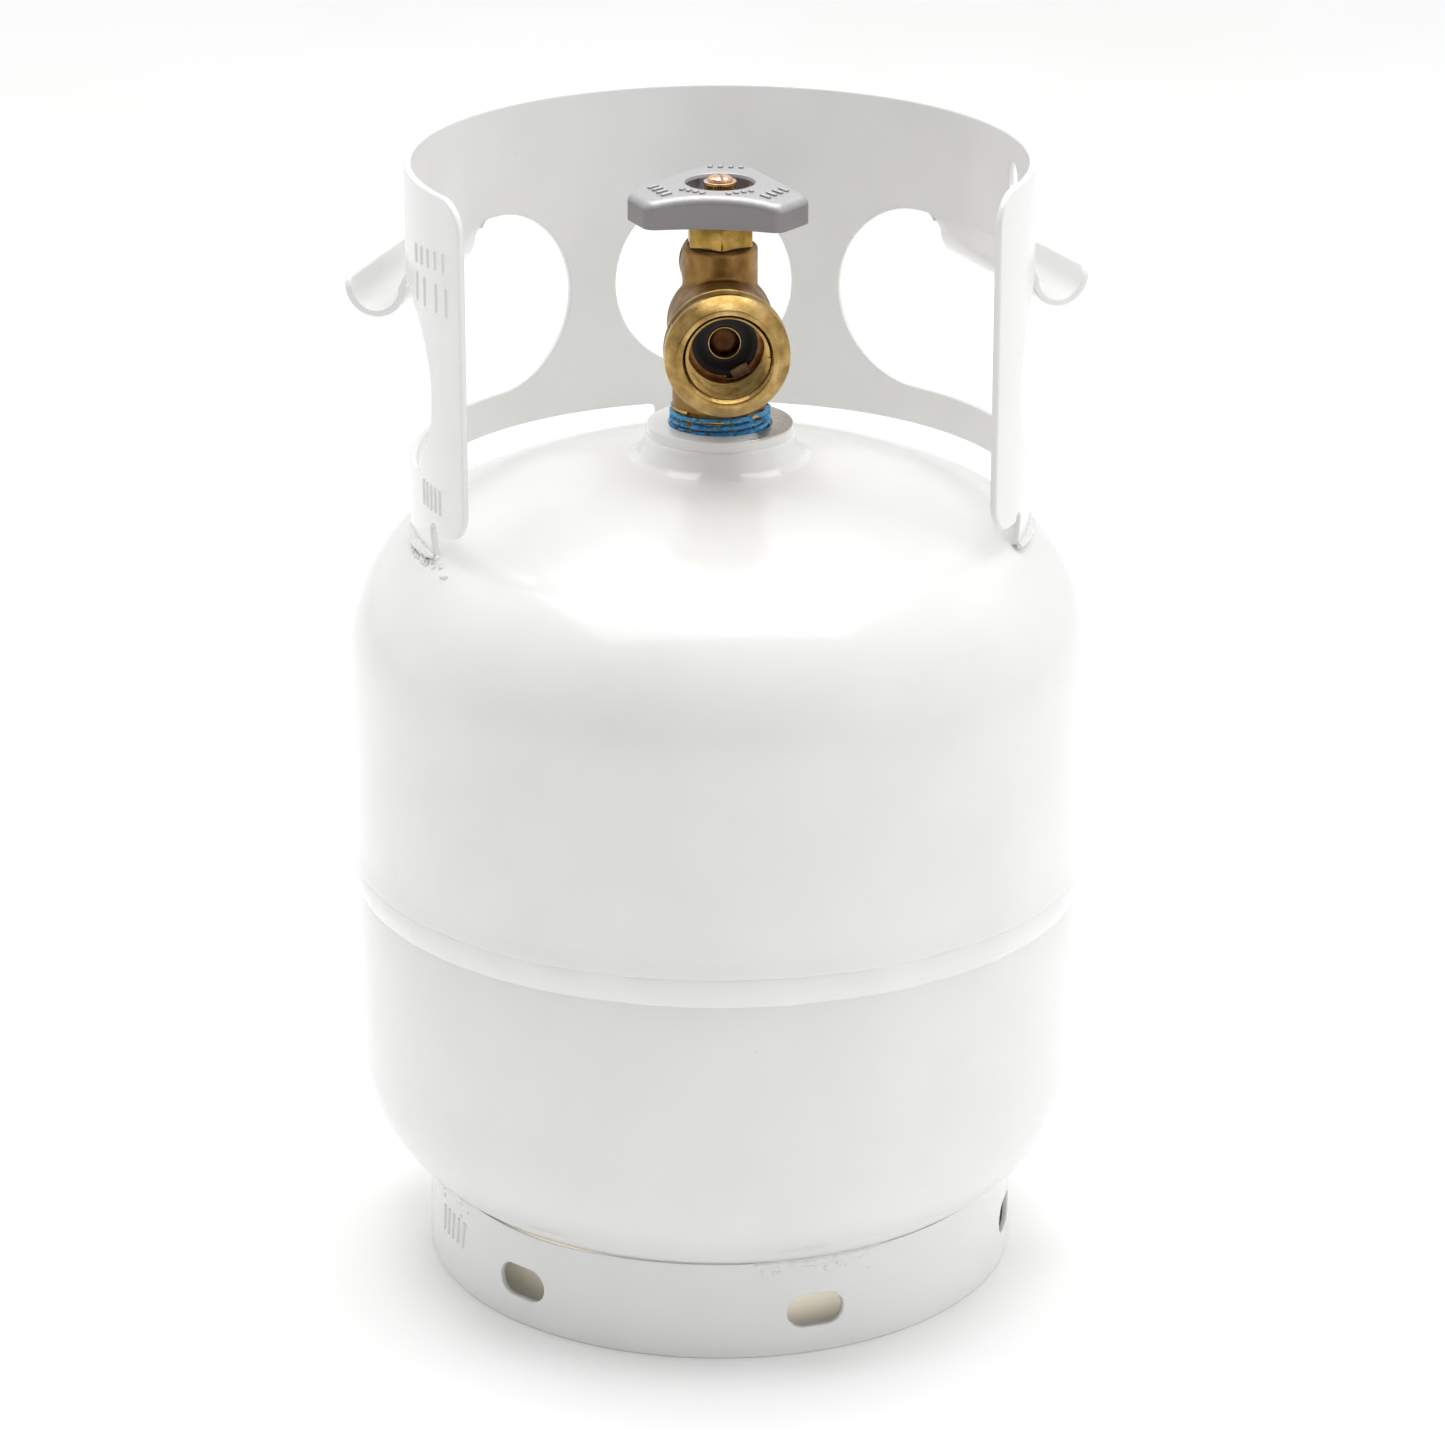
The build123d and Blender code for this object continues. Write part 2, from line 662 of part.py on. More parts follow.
with BuildPart() as thread_sealant:
    sealant_inner = thread_radius + fixed_clearance
    sealant_z = boss_top_z + fixed_clearance
    height = thread_top_z - sealant_z
    tube(Plane.XY.offset(sealant_z), sealant_inner + sealant_thickness, sealant_inner, height)
export(thread_sealant, "thread_sealant")

with BuildPart() as bonnet_nut:
    rod(Plane.XY.offset(bonnet_bottom_z), bonnet_thread_radius, bonnet_thread_depth)
    with BuildSketch(Plane.XY.offset(neck_top_z + fixed_clearance)):
        RegularPolygon(bonnet_across_flats / 2, 6, major_radius=False, rotation=30)
    extrude(amount=bonnet_height - fixed_clearance)
    rod(Plane.XY.offset(neck_top_z), bonnet_thread_radius, bonnet_height / 2)
    chamfer(bonnet_nut.edges().group_by(Axis.Z)[-1], length=0.5)
    stem_bore = stem_radius + running_clearance
    rod(Plane.XY.offset(bonnet_bottom_z), stem_bore, bonnet_thread_depth + bonnet_height, Mode.SUBTRACT)
export(bonnet_nut, "bonnet_nut")

# ---- stem: a flange under the bonnet, a flat tang below it and a splined end for the handwheel ----
with BuildPart() as valve_stem:
    rod(Plane.XY.offset(flange_bottom_z), stem_flange_radius, stem_flange_height)
    rod(Plane.XY.offset(flange_bottom_z), stem_radius, wheel_bottom_z - flange_bottom_z)
    with BuildSketch(Plane.XY.offset(wheel_bottom_z)):
        RegularPolygon(spline_radius, spline_teeth)
    extrude(amount=spline_top_z - wheel_bottom_z)
    with BuildSketch(Plane.XY.offset(tang_end_z)):
        Rectangle(tang_width, tang_thickness)
    extrude(amount=flange_bottom_z - tang_end_z)
    screw_bore = screw_radius + fixed_clearance
    rod(Plane.XY.offset(spline_top_z - screw_length), screw_bore, screw_length, Mode.SUBTRACT)
    for height in oring_heights:
        seal_floor = stem_radius - 2 * oring_radius
        low = Plane.XY.offset(height - oring_radius)
        tube(low, stem_radius + 1, seal_floor, 2 * oring_radius, Mode.SUBTRACT)
export(valve_stem, "valve_stem")

with BuildPart() as stem_seals:
    with Locations(*[(0, 0, height) for height in oring_heights]):
        Torus(stem_radius - oring_radius + running_clearance / 2, oring_radius - running_clearance / 2)
export(stem_seals, "stem_seals")

# ---- plug: turned by the tang, it screws up and down in the body over the seat ----
with BuildPart() as valve_plug:
    rod(Plane.XY.offset(plug_bottom_z), chamber_radius - running_clearance, plug_top_z - plug_bottom_z)
    with BuildSketch(Plane.XY.offset(plug_top_z - plug_slot_depth)):
        Rectangle(tang_width + 2 * tang_gap, tang_thickness + 2 * tang_gap)
    extrude(amount=plug_slot_depth, mode=Mode.SUBTRACT)
export(valve_plug, "valve_plug")

with BuildPart() as seat_disc:
    rod(Plane.XY.offset(disc_bottom_z), seat_disc_radius, seat_disc_height)
export(seat_disc, "seat_disc")

# ---- handwheel: three blunt lobes with hollow sides, cored out below round a hub ----
with BuildPart() as handwheel:
    with BuildSketch(Plane.XY.offset(wheel_bottom_z)) as wheel_outline:
        with BuildLine():
            forward = Vector(0, -1).rotate(Axis.Z, wheel_turn)
            for azimuth in (60, 180, 300):
                lobe = forward.rotate(Axis.Z, azimuth) * wheel_reach
                across = forward.rotate(Axis.Z, azimuth + 90) * wheel_lobe_width / 2
                hollow = forward.rotate(Axis.Z, azimuth + 60) * wheel_waist
                next_lobe = (lobe - across).rotate(Axis.Z, 120)
                end = Line(lobe - across, lobe + across)
                ThreePointArc(end @ 1, hollow, next_lobe)
        make_face()
        fillet(wheel_outline.vertices(), radius=wheel_corner)
    extrude(amount=wheel_height)
    fillet(handwheel.faces().sort_by(Axis.Z)[-1].edges(), radius=wheel_edge)
    with BuildSketch(Plane.XY.offset(wheel_bottom_z)):
        add(wheel_outline.sketch)
        offset(amount=-wheel_skirt, mode=Mode.REPLACE)
        Circle(wheel_hub_radius, mode=Mode.SUBTRACT)
    extrude(amount=wheel_height - wheel_web, mode=Mode.SUBTRACT)
    rod(Plane.XY.offset(recess_z), wheel_recess_radius, wheel_recess_depth, Mode.SUBTRACT)
    with BuildSketch(Plane.XY.offset(wheel_bottom_z)):
        RegularPolygon(spline_radius + running_clearance, spline_teeth)
    extrude(amount=wheel_height, mode=Mode.SUBTRACT)
export(handwheel, "handwheel")

with BuildPart() as handwheel_washer:
    tube(Plane.XY.offset(spline_top_z), washer_radius, screw_bore, washer_height)
export(handwheel_washer, "handwheel_washer")

with BuildPart() as handwheel_screw:
    rod(Plane.XY.offset(washer_top_z), screw_head_radius, screw_head_height)
    fillet(handwheel_screw.edges().group_by(Axis.Z)[-1], radius=screw_head_height / 2)
    shank = screw_length - 1
    rod(Plane.XY.offset(washer_top_z - shank), screw_radius, shank)
    with BuildSketch(Plane.XY.offset(washer_top_z + screw_head_height)):
        Rectangle(3 * screw_head_radius, screw_slot)
    extrude(amount=-screw_head_height / 2, mode=Mode.SUBTRACT)
export(handwheel_screw, "handwheel_screw")

# ---- outlet: rubber seal, retaining ring, and a sprung check poppet in a thin tube ----
with BuildPart() as outlet_seal:
    seal_bore = check_tube_radius + fixed_clearance
    tube(front_plane(bore_floor, outlet_z), outlet_seal_radius, seal_bore, outlet_seal_height)
export(outlet_seal, "outlet_seal")

with BuildPart() as outlet_retaining_ring:
    ring_plane = front_plane(seal_front + fixed_clearance, outlet_z)
    tube(ring_plane, groove_radius - 2 * fixed_clearance, retainer_inner, retainer_thickness)
    gap_end = retainer_gap_start + retainer_gap
    wedge(ring_plane, 2 * groove_radius, retainer_gap_start, gap_end, retainer_thickness, Mode.SUBTRACT)
export(outlet_retaining_ring, "outlet_retaining_ring")

with BuildPart() as check_tube:
    tube_start = check_tube_end + fixed_clearance
    tube_length = check_tube_front - tube_start
    tube(front_plane(tube_start, outlet_z), check_tube_radius, check_tube_bore, tube_length)
export(check_tube, "check_tube")

poppet_front = check_tube_front - check_poppet_depth
poppet_back = poppet_front - check_poppet_height
with BuildPart() as check_poppet:
    poppet_radius = check_tube_bore - running_clearance
    rod(front_plane(poppet_back, outlet_z), poppet_radius, check_poppet_height)
export(check_poppet, "check_poppet")

with BuildPart() as check_spring:
    spring_end = check_tube_end + fixed_clearance
    spring_length = poppet_back - spring_end - 2 * seat_gap
    coil(front_plane(spring_end, outlet_z), poppet_radius - spring_wire, spring_wire, 3, spring_length)
export(check_spring, "check_spring")

# ---- relief valve at the back: seal and poppet, spring, vented retainer and dust cap ----
poppet_start = relief_seat_y + seat_gap
with BuildPart() as relief_seal:
    rod(back_plane(poppet_start, relief_z), relief_orifice_radius + 1.2, relief_seal_height)
export(relief_seal, "relief_seal")

with BuildPart() as relief_poppet:
    poppet_y = poppet_start + relief_seal_height
    rod(back_plane(poppet_y, relief_z), relief_bore_radius - running_clearance, relief_poppet_height)
export(relief_poppet, "relief_poppet")

retainer_y = relief_back - relief_retainer_height
spring_y = poppet_y + relief_poppet_height
with BuildPart() as relief_spring:
    spring_length = retainer_y - spring_y - 0.2
    coil(back_plane(spring_y + 0.1, relief_z), relief_bore_radius - 1.2, relief_wire, 3, spring_length)
export(relief_spring, "relief_spring")

with BuildPart() as relief_retainer:
    vent = relief_orifice_radius - 1
    rim = relief_bore_radius - fixed_clearance
    tube(back_plane(retainer_y, relief_z), rim, vent, relief_retainer_height)
export(relief_retainer, "relief_retainer")

with BuildPart() as relief_cap:
    rod(back_plane(relief_back + fixed_clearance, relief_z), relief_housing_radius, relief_cap_height)
    fillet(relief_cap.edges().group_by(Axis.Y)[-1], radius=relief_cap_height / 3)
export(relief_cap, "relief_cap")

# ---- bleed screw and the dip tube that it vents ----
with BuildPart() as bleed_screw:
    bleed_start = bleed_floor + seat_gap
    rod(right_plane(bleed_start, bleed_z), bleed_radius, bleed_depth)
    head_start = bleed_boss_end + 2 * seat_gap
    rod(right_plane(head_start, bleed_z), bleed_head_radius, bleed_head_height)
    rod(right_plane(bleed_start, bleed_z), bleed_radius, head_start - bleed_start)
    with BuildSketch(right_plane(head_start + bleed_head_height, bleed_z)):
        Rectangle(3 * bleed_head_radius, screw_slot)
    extrude(amount=-bleed_head_height / 2, mode=Mode.SUBTRACT)
export(bleed_screw, "bleed_screw")

with BuildPart() as dip_tube:
    with BuildSketch(Plane.XY.offset(dip_tube_end_z)):
        with Locations((dip_tube_offset, 0)):
            Circle(dip_tube_radius)
            Circle(dip_tube_bore, mode=Mode.SUBTRACT)
    extrude(amount=thread_bottom_z + dip_tube_socket - fixed_clearance - dip_tube_end_z)
export(dip_tube, "dip_tube")

# ---- overfill stop: a housing under the valve, its shutter, and the float that lets it fall ----
with BuildPart() as float_housing:
    housing_top_z = thread_bottom_z - fixed_clearance
    rod(Plane.XY.offset(housing_bottom_z), housing_radius, housing_top_z - housing_bottom_z)
    rod(Plane.XY.offset(thread_bottom_z - 1), housing_spigot_radius, housing_spigot + 1 - fixed_clearance)
    shutter_bore_top = thread_bottom_z - 2
    bore_length = shutter_bore_top - shutter_seat_z
    rod(Plane.XY.offset(shutter_seat_z), housing_bore + running_clearance, bore_length, Mode.SUBTRACT)
    rod(Plane.XY.offset(housing_bottom_z), shutter_orifice, housing_spigot_radius, Mode.SUBTRACT)
    rod(Plane.XY.offset(shutter_bore_top - 1), inlet_radius, 2 * housing_spigot, Mode.SUBTRACT)
    for side in (-1, 1):
        ear_middle = side * (ear_gap + ear_thickness) / 2
        with BuildSketch(Plane.YZ.offset(ear_middle - ear_thickness / 2)):
            with Locations((-pivot_y, (pivot_z + housing_bottom_z) / 2)):
                Rectangle(ear_width, housing_bottom_z - pivot_z)
            with Locations((-pivot_y, pivot_z)):
                Circle(ear_width / 2)
                Circle(pin_radius + fixed_clearance, mode=Mode.SUBTRACT)
        extrude(amount=ear_thickness)
export(float_housing, "float_housing")

shutter_bottom_z = shutter_seat_z + shutter_lift + seat_gap
with BuildPart() as shutter:
    rod(Plane.XY.offset(shutter_bottom_z), housing_bore, shutter_height)
    stem_bottom_z = pivot_z + arm_thickness / 2 + slide_gap / 2
    rod(Plane.XY.offset(stem_bottom_z), shutter_stem_radius, shutter_bottom_z - stem_bottom_z)
    with BuildSketch(Plane.XY.offset(shutter_bottom_z)):
        with PolarLocations(housing_bore, 4):
            Circle(shutter_groove)
    extrude(amount=shutter_height, mode=Mode.SUBTRACT)
export(shutter, "shutter")

with BuildPart() as float_pin:
    pin_length = ear_gap + 2 * ear_thickness
    rod(right_plane(-pin_length / 2, pivot_z, -pivot_y), pin_radius, pin_length)
export(float_pin, "float_pin")


def arm_bar(grow, start, mode):
    """The float's flat arm, from the pivot towards the float, grown by a clearance."""
    along = Plane(
        origin=(0, -pivot_y, pivot_z),
        x_dir=(1, 0, 0),
        z_dir=(0, -cos(radians(arm_droop)), -sin(radians(arm_droop))),
    )
    with BuildSketch(along.offset(start)) as bar:
        Rectangle(arm_width + 2 * grow, arm_thickness + 2 * grow)
    extrude(bar.sketch, amount=arm_length + grow - start, mode=mode)


with BuildPart() as float_arm:
    pivot_plane = right_plane(-arm_width / 2, pivot_z, -pivot_y)
    rod(pivot_plane, hub_radius, arm_width)
    arm_bar(0, 0, Mode.ADD)
    # the short finger that holds the shutter up
    with BuildSketch(Plane.XY.offset(pivot_z - arm_thickness / 2)):
        with Locations((0, -pivot_y / 2 + shutter_stem_radius / 2)):
            Rectangle(arm_width / 2, pivot_y + shutter_stem_radius)
    extrude(amount=arm_thickness)
    rod(pivot_plane, pin_radius + running_clearance, arm_width, Mode.SUBTRACT)
export(float_arm, "float_arm")

with BuildPart() as float_body:
    float_y = -pivot_y - arm_length * cos(radians(arm_droop))
    float_z = pivot_z - arm_length * sin(radians(arm_droop))
    rod(right_plane(-float_length / 2, float_z, float_y), float_radius, float_length)
    fillet(float_body.edges().filter_by(GeomType.CIRCLE), radius=float_edge)
    arm_bar(fixed_clearance, 0, Mode.SUBTRACT)
export(float_body, "float_body")
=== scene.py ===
import math
import random

import bmesh
import bpy
from mathutils import Matrix, Vector, noise


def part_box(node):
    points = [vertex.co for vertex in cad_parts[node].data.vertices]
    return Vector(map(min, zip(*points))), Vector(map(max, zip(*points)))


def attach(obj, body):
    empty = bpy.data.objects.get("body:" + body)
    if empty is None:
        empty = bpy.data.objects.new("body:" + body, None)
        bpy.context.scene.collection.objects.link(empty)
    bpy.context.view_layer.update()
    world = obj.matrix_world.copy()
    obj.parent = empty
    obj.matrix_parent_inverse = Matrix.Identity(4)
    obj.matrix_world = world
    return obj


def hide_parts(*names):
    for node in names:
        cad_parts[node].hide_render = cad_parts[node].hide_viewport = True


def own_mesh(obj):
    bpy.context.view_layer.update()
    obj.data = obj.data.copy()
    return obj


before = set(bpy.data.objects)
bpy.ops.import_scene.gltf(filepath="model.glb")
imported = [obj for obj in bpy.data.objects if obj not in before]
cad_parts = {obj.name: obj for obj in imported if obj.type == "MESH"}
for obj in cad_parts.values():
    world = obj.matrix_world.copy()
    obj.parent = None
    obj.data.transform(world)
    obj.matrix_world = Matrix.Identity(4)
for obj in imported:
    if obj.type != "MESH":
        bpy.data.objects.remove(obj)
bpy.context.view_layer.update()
mm = 0.001
random.seed(7)


def span(node, axis):
    # lowest and highest place of a CAD node along an axis, in mm
    low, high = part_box(node)
    return low[axis] / mm, high[axis] / mm


def around(azimuth, radius, z):
    # a point at an azimuth and a distance from the tank's axis
    angle = math.radians(azimuth)
    return Vector((math.sin(angle) * radius, -math.cos(angle) * radius, z))


def arc(centre, radius, start, end, steps):
    # points of an arc in a flat plane, angles in degrees
    angles = [math.radians(start + (end - start) * i / steps) for i in range(steps + 1)]
    return [(centre[0] + radius * math.cos(a), centre[1] + radius * math.sin(a)) for a in angles]


def smoothStep(low, high, value):
    t = min(1.0, max(0.0, (value - low) / (high - low)))
    return t * t * (3 - 2 * t)


# ---- modelling helpers

def section(profile, closed=True):
    # a bmesh that holds one section in the XZ plane; a third number rounds that corner
    bm = bmesh.new()
    verts = [bm.verts.new((point[0], 0, point[1])) for point in profile]
    for first, second in zip(verts, verts[1:]):
        bm.edges.new((first, second))
    if closed:
        bm.edges.new((verts[-1], verts[0]))
    for vert, point in zip(verts, profile):
        if len(point) > 2:
            bmesh.ops.bevel(bm, geom=[vert], offset=point[2], offset_type="OFFSET", segments=4,
                            profile=0.5, affect="VERTICES", material=-1)
    return bm


def softened(bm, edges, width, segments=3, clamp=False):
    # round edges off by a width in mm
    bmesh.ops.bevel(bm, geom=edges, offset=width, offset_type="OFFSET", segments=segments, profile=0.5,
                    affect="EDGES", clamp_overlap=clamp, material=-1)


def moved(bm, place):
    bmesh.ops.translate(bm, vec=place, verts=bm.verts)
    return bm


def turnedBy(bm, degrees, axis="Z"):
    turn = Matrix.Rotation(math.radians(degrees), 3, axis)
    bmesh.ops.rotate(bm, cent=(0, 0, 0), matrix=turn, verts=bm.verts)
    return bm


def slab(size, soft=0.0, segments=3):
    # a box with its middle at the origin, its edges rounded where soft is given
    bm = bmesh.new()
    bmesh.ops.create_cube(bm, size=1.0)
    bmesh.ops.scale(bm, vec=size, verts=bm.verts)
    if soft:
        softened(bm, bm.edges[:], soft, segments)
    return bm


def turned(profile, steps=144, closed=True):
    # spin a section about the Z axis
    bm = section(profile, closed)
    bmesh.ops.spin(bm, geom=bm.verts[:] + bm.edges[:], cent=(0, 0, 0), axis=(0, 0, 1),
                   angle=math.tau, steps=steps, use_merge=True)
    bmesh.ops.remove_doubles(bm, verts=bm.verts, dist=0.0005)
    bmesh.ops.recalc_face_normals(bm, faces=bm.faces)
    return bm


def coiled(profile, pitch, turns, stepsPerTurn=72, start=0):
    # a closed section swept along a helix about Z, capped at both ends
    bm = turnedBy(section(profile), start)
    first = bmesh.ops.contextual_create(bm, geom=bm.edges[:])["faces"]
    steps = round(stepsPerTurn * turns)
    bmesh.ops.spin(bm, geom=first, cent=(0, 0, 0), axis=(0, 0, 1), angle=math.tau * turns,
                   steps=steps, dvec=(0, 0, pitch * turns / steps))
    bmesh.ops.recalc_face_normals(bm, faces=bm.faces)
    return bm


def facing(bm, direction, origin):
    # stand a bmesh that was made along Z on a place, pointing along a direction
    turn = Vector((0, 0, 1)).rotation_difference(Vector(direction)).to_matrix()
    bmesh.ops.rotate(bm, cent=(0, 0, 0), matrix=turn, verts=bm.verts)
    return moved(bm, origin)


def joined(target, *others):
    # copy other bmeshes into one
    for other in others:
        mesh = bpy.data.meshes.new("part")
        other.to_mesh(mesh)
        other.free()
        target.from_mesh(mesh)
        bpy.data.meshes.remove(mesh)
    return target


def placed(name, data):
    # data as an object in the scene
    obj = bpy.data.objects.new(name, data)
    bpy.context.scene.collection.objects.link(obj)
    return obj


def finishPiece(name, bm, materials, nodes, body="cylinder", sharp=38):
    # scale to metres, shade, and tie the piece to its body and CAD nodes
    bmesh.ops.scale(bm, vec=(mm, mm, mm), verts=bm.verts)
    mesh = bpy.data.meshes.new(name)
    bm.to_mesh(mesh)
    bm.free()
    for material in materials:
        mesh.materials.append(material)
    mesh.shade_smooth()
    mesh.set_sharp_from_angle(angle=math.radians(sharp))
    piece = placed(name, mesh)
    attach(piece, body)
    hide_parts(*nodes)
    return piece


def evenNormals(piece):
    # large flat faces keep their own direction beside small rounded edges
    modifier = piece.modifiers.new("evenNormals", "WEIGHTED_NORMAL")
    modifier.keep_sharp = True
    modifier.weight = 80


def bakedMesh(piece, tools=()):
    # the mesh of an object with its modifiers applied, as a bmesh; the tools it was cut with go too
    bpy.context.view_layer.update()
    depsgraph = bpy.context.evaluated_depsgraph_get()
    mesh = bpy.data.meshes.new_from_object(piece.evaluated_get(depsgraph))
    bm = bmesh.new()
    bm.from_mesh(mesh)
    bpy.data.meshes.remove(mesh)
    for obj in (piece, *tools):
        bpy.data.objects.remove(obj)
    return bm


def looseObject(name, bm):
    # a bmesh as an object that only modifiers will use
    mesh = bpy.data.meshes.new(name)
    bm.to_mesh(mesh)
    bm.free()
    return placed(name, mesh)


def shaped(body, kind, shapes):
    # join shapes to an object or cut them out of it, by modifiers; gives back the tools
    tools = []
    for shape in shapes:
        tool = looseObject("tool", shape)
        modifier = body.modifiers.new(kind, "BOOLEAN")
        modifier.operation = kind
        modifier.object = tool
        modifier.solver = "EXACT"
        tools.append(tool)
    return tools


def slotted(bm, slot):
    # a head with a screwdriver slot cut out
    body = looseObject("head", bm)
    return bakedMesh(body, shaped(body, "DIFFERENCE", [slot]))


def punchedSheet(outlines, thickness, softEdge):
    # a flat sheet with holes and rounded rims; the first outline is the rim, x is along and y is up
    curve = bpy.data.curves.new("sheet", "CURVE")
    curve.dimensions = "2D"
    curve.fill_mode = "BOTH"
    curve.extrude = thickness / 2 - softEdge
    curve.bevel_depth = softEdge
    curve.bevel_resolution = 2
    curve.offset = -softEdge
    for outline in outlines:
        spline = curve.splines.new("POLY")
        spline.points.add(len(outline) - 1)
        for point, place in zip(spline.points, outline):
            point.co = (place[0], place[1], 0, 1)
        spline.use_cyclic_u = True
    bm = bakedMesh(placed("sheet", curve))
    bpy.data.curves.remove(curve)
    bmesh.ops.remove_doubles(bm, verts=bm.verts, dist=0.002)
    return bm


def sliced(bm, axis, places, faces=None):
    # cut a bmesh along evenly spaced planes so that it can bend there
    normal = Vector((0, 0, 0))
    normal[axis] = 1
    for place in places:
        geom = bm.verts[:] + bm.edges[:] + bm.faces[:]
        if faces is not None:
            chosen = [f for f in bm.faces if faces(f.calc_center_median())]
            geom = list({v for f in chosen for v in f.verts} | {e for f in chosen for e in f.edges}) + chosen
        bmesh.ops.bisect_plane(bm, geom=geom, dist=0.0005, plane_co=normal * place, plane_no=normal)


# ---- materials

def toLinear(colour):
    # sRGB hex to the linear values that shaders work in
    parts = [int(colour[i : i + 2], 16) / 255 for i in (1, 3, 5)]
    linear = [p / 12.92 if p <= 0.04045 else ((p + 0.055) / 1.055) ** 2.4 for p in parts]
    return (*linear, 1.0)


def feed(tree, node, inputs):
    # an input is a value or another node's output
    for name, value in inputs.items():
        if isinstance(value, bpy.types.NodeSocket):
            tree.links.new(value, node.inputs[name])
        else:
            node.inputs[name].default_value = value


def addNode(tree, kind, inputs=None, **settings):
    node = tree.nodes.new("ShaderNode" + kind)
    for name, value in settings.items():
        setattr(node, name, value)
    feed(tree, node, inputs or {})
    return node


def calculated(tree, operation, *values):
    return addNode(tree, "Math", dict(enumerate(values)), operation=operation).outputs[0]


def mixed(tree, factor, first, second):
    # one colour over another
    inputs = {"Factor": factor, "A": first, "B": second}
    return addNode(tree, "Mix", inputs, data_type="RGBA").outputs["Result"]


def newMaterial(name):
    material = bpy.data.materials.new(name)
    material.use_nodes = True
    tree = material.node_tree
    tree.nodes.clear()
    shader = addNode(tree, "BsdfPrincipled")
    addNode(tree, "OutputMaterial", {"Surface": shader.outputs[0]})
    place = addNode(tree, "TexCoord").outputs["Object"]
    return material, tree, shader, place


def noiseAt(tree, place, size, detail=2.0, rough=0.5):
    # noise whose blotches are about one size across, in mm
    return addNode(tree, "TexNoise", {"Vector": place, "Scale": 1 / (size * mm), "Detail": detail,
                                      "Roughness": rough}).outputs["Fac"]


def ramp(tree, value, stops):
    # a colour ramp from sRGB hex stops
    node = addNode(tree, "ValToRGB", {"Fac": value})
    elements = node.color_ramp.elements
    while len(elements) < len(stops):
        elements.new(0.5)
    for element, (position, colour) in zip(elements, stops):
        element.position = position
        element.color = toLinear(colour)
    return node.outputs["Color"]


def remap(tree, value, low, high, toLow, toHigh):
    return addNode(tree, "MapRange", {"Value": value, "From Min": low, "From Max": high,
                                      "To Min": toLow, "To Max": toHigh}).outputs["Result"]


def bumpFrom(tree, height, depth, under=None):
    # depth is the height of the relief in mm
    inputs = {"Height": height, "Strength": 1.0, "Distance": depth * mm}
    if under is not None:
        inputs["Normal"] = under
    return addNode(tree, "Bump", inputs).outputs["Normal"]


def radiusFrom(tree, place, centre=(0, 0, 0), direction="Z"):
    # distance from an axis through a centre in mm, and the height along it
    moved = addNode(tree, "VectorMath", {0: place, 1: [-c * mm for c in centre]}, operation="ADD").outputs[0]
    flat = addNode(tree, "VectorMath", {0: moved, 1: (1, 1, 0) if direction == "Z" else (1, 0, 1)},
                   operation="MULTIPLY").outputs[0]
    length = addNode(tree, "VectorMath", {0: flat}, operation="LENGTH").outputs["Value"]
    height = addNode(tree, "SeparateXYZ", {0: moved}).outputs[direction]
    return length, height


paint = {
    "colour": "#eaeae9",
    "shade": "#e6e6e4",
    # inside the foot ring the paint is greyer: partly thin coat, partly painted shade
    "insideShadeAndThinCoat": "#8d8b7f",
    "shadeAndThinWithin": 80.9,
    "shadeAndThinBelow": 27.3,
    "dust": "#7a7872",
    "peel": 2.4,
    "peelDepth": 0.012,
    "wave": 16.0,
    "waveDepth": 0.05,
    "speck": 17.0,
}


def powderCoatSteel(name="glossPowderCoat", bare=None):
    # polyester powder coat, sprayed and baked: glossy white with orange peel and a few dust nibs
    material, tree, shader, place = newMaterial(name)
    colour = ramp(tree, noiseAt(tree, place, 30, 3), [(0.35, paint["colour"]), (0.7, paint["shade"])])
    nib = addNode(tree, "TexVoronoi", {"Vector": place, "Scale": 1 / (paint["speck"] * mm)}, feature="F1")
    dust = remap(tree, nib.outputs["Distance"], 0.009, 0.014, 0.35, 0.0)
    colour = mixed(tree, dust, colour, toLinear(paint["dust"]))
    rough = remap(tree, noiseAt(tree, place, 9, 3), 0.3, 0.7, 0.2, 0.27)
    if bare is not None:
        mask = bare(tree, place)
        metalTone = ramp(tree, noiseAt(tree, place, 1.2, 4), [(0.3, "#9c948b"), (0.7, "#bbb3aa")])
        colour = mixed(tree, mask, colour, metalTone)
        feed(tree, shader, {"Metallic": remap(tree, mask, 0, 1, 0, 0.85)})
        rough = addNode(tree, "Mix", {"Factor": mask, "A": rough, "B": 0.38}).outputs["Result"]
    else:
        # inside the foot ring the colour is greyer: partly a thin, dull coat, partly painted shade for the
        # dim inside
        radius, height = radiusFrom(tree, place)
        inside = calculated(tree, "LESS_THAN", radius, paint["shadeAndThinWithin"] * mm)
        low = calculated(tree, "LESS_THAN", height, paint["shadeAndThinBelow"] * mm)
        colour = mixed(tree, calculated(tree, "MULTIPLY", inside, low), colour, toLinear(paint["insideShadeAndThinCoat"]))
    peel = bumpFrom(tree, noiseAt(tree, place, paint["peel"], 1.5), paint["peelDepth"])
    wave = bumpFrom(tree, noiseAt(tree, place, paint["wave"], 1), paint["waveDepth"], peel)
    feed(tree, shader, {"Base Color": colour, "Roughness": rough, "Coat Weight": 0.35, "Coat Roughness": 0.08,
                        "Normal": wave})
    return material


def shotBlastedBrass():
    # hot forged brass, shot blasted: fine pitted grain, brown where oxide is left
    material, tree, shader, place = newMaterial("shotBlastedBrass")
    patches = noiseAt(tree, place, 7, 4, 0.6)
    colour = ramp(tree, patches, [(0.3, "#7c5b33"), (0.5, "#94713f"), (0.72, "#b08c56")])
    grain = bumpFrom(tree, noiseAt(tree, place, 0.45, 2), 0.045)
    dents = bumpFrom(tree, noiseAt(tree, place, 3.5, 2), 0.18, grain)
    feed(tree, shader, {"Base Color": colour, "Metallic": 1.0, "Normal": dents,
                        "Roughness": remap(tree, patches, 0.3, 0.7, 0.5, 0.36)})
    return material


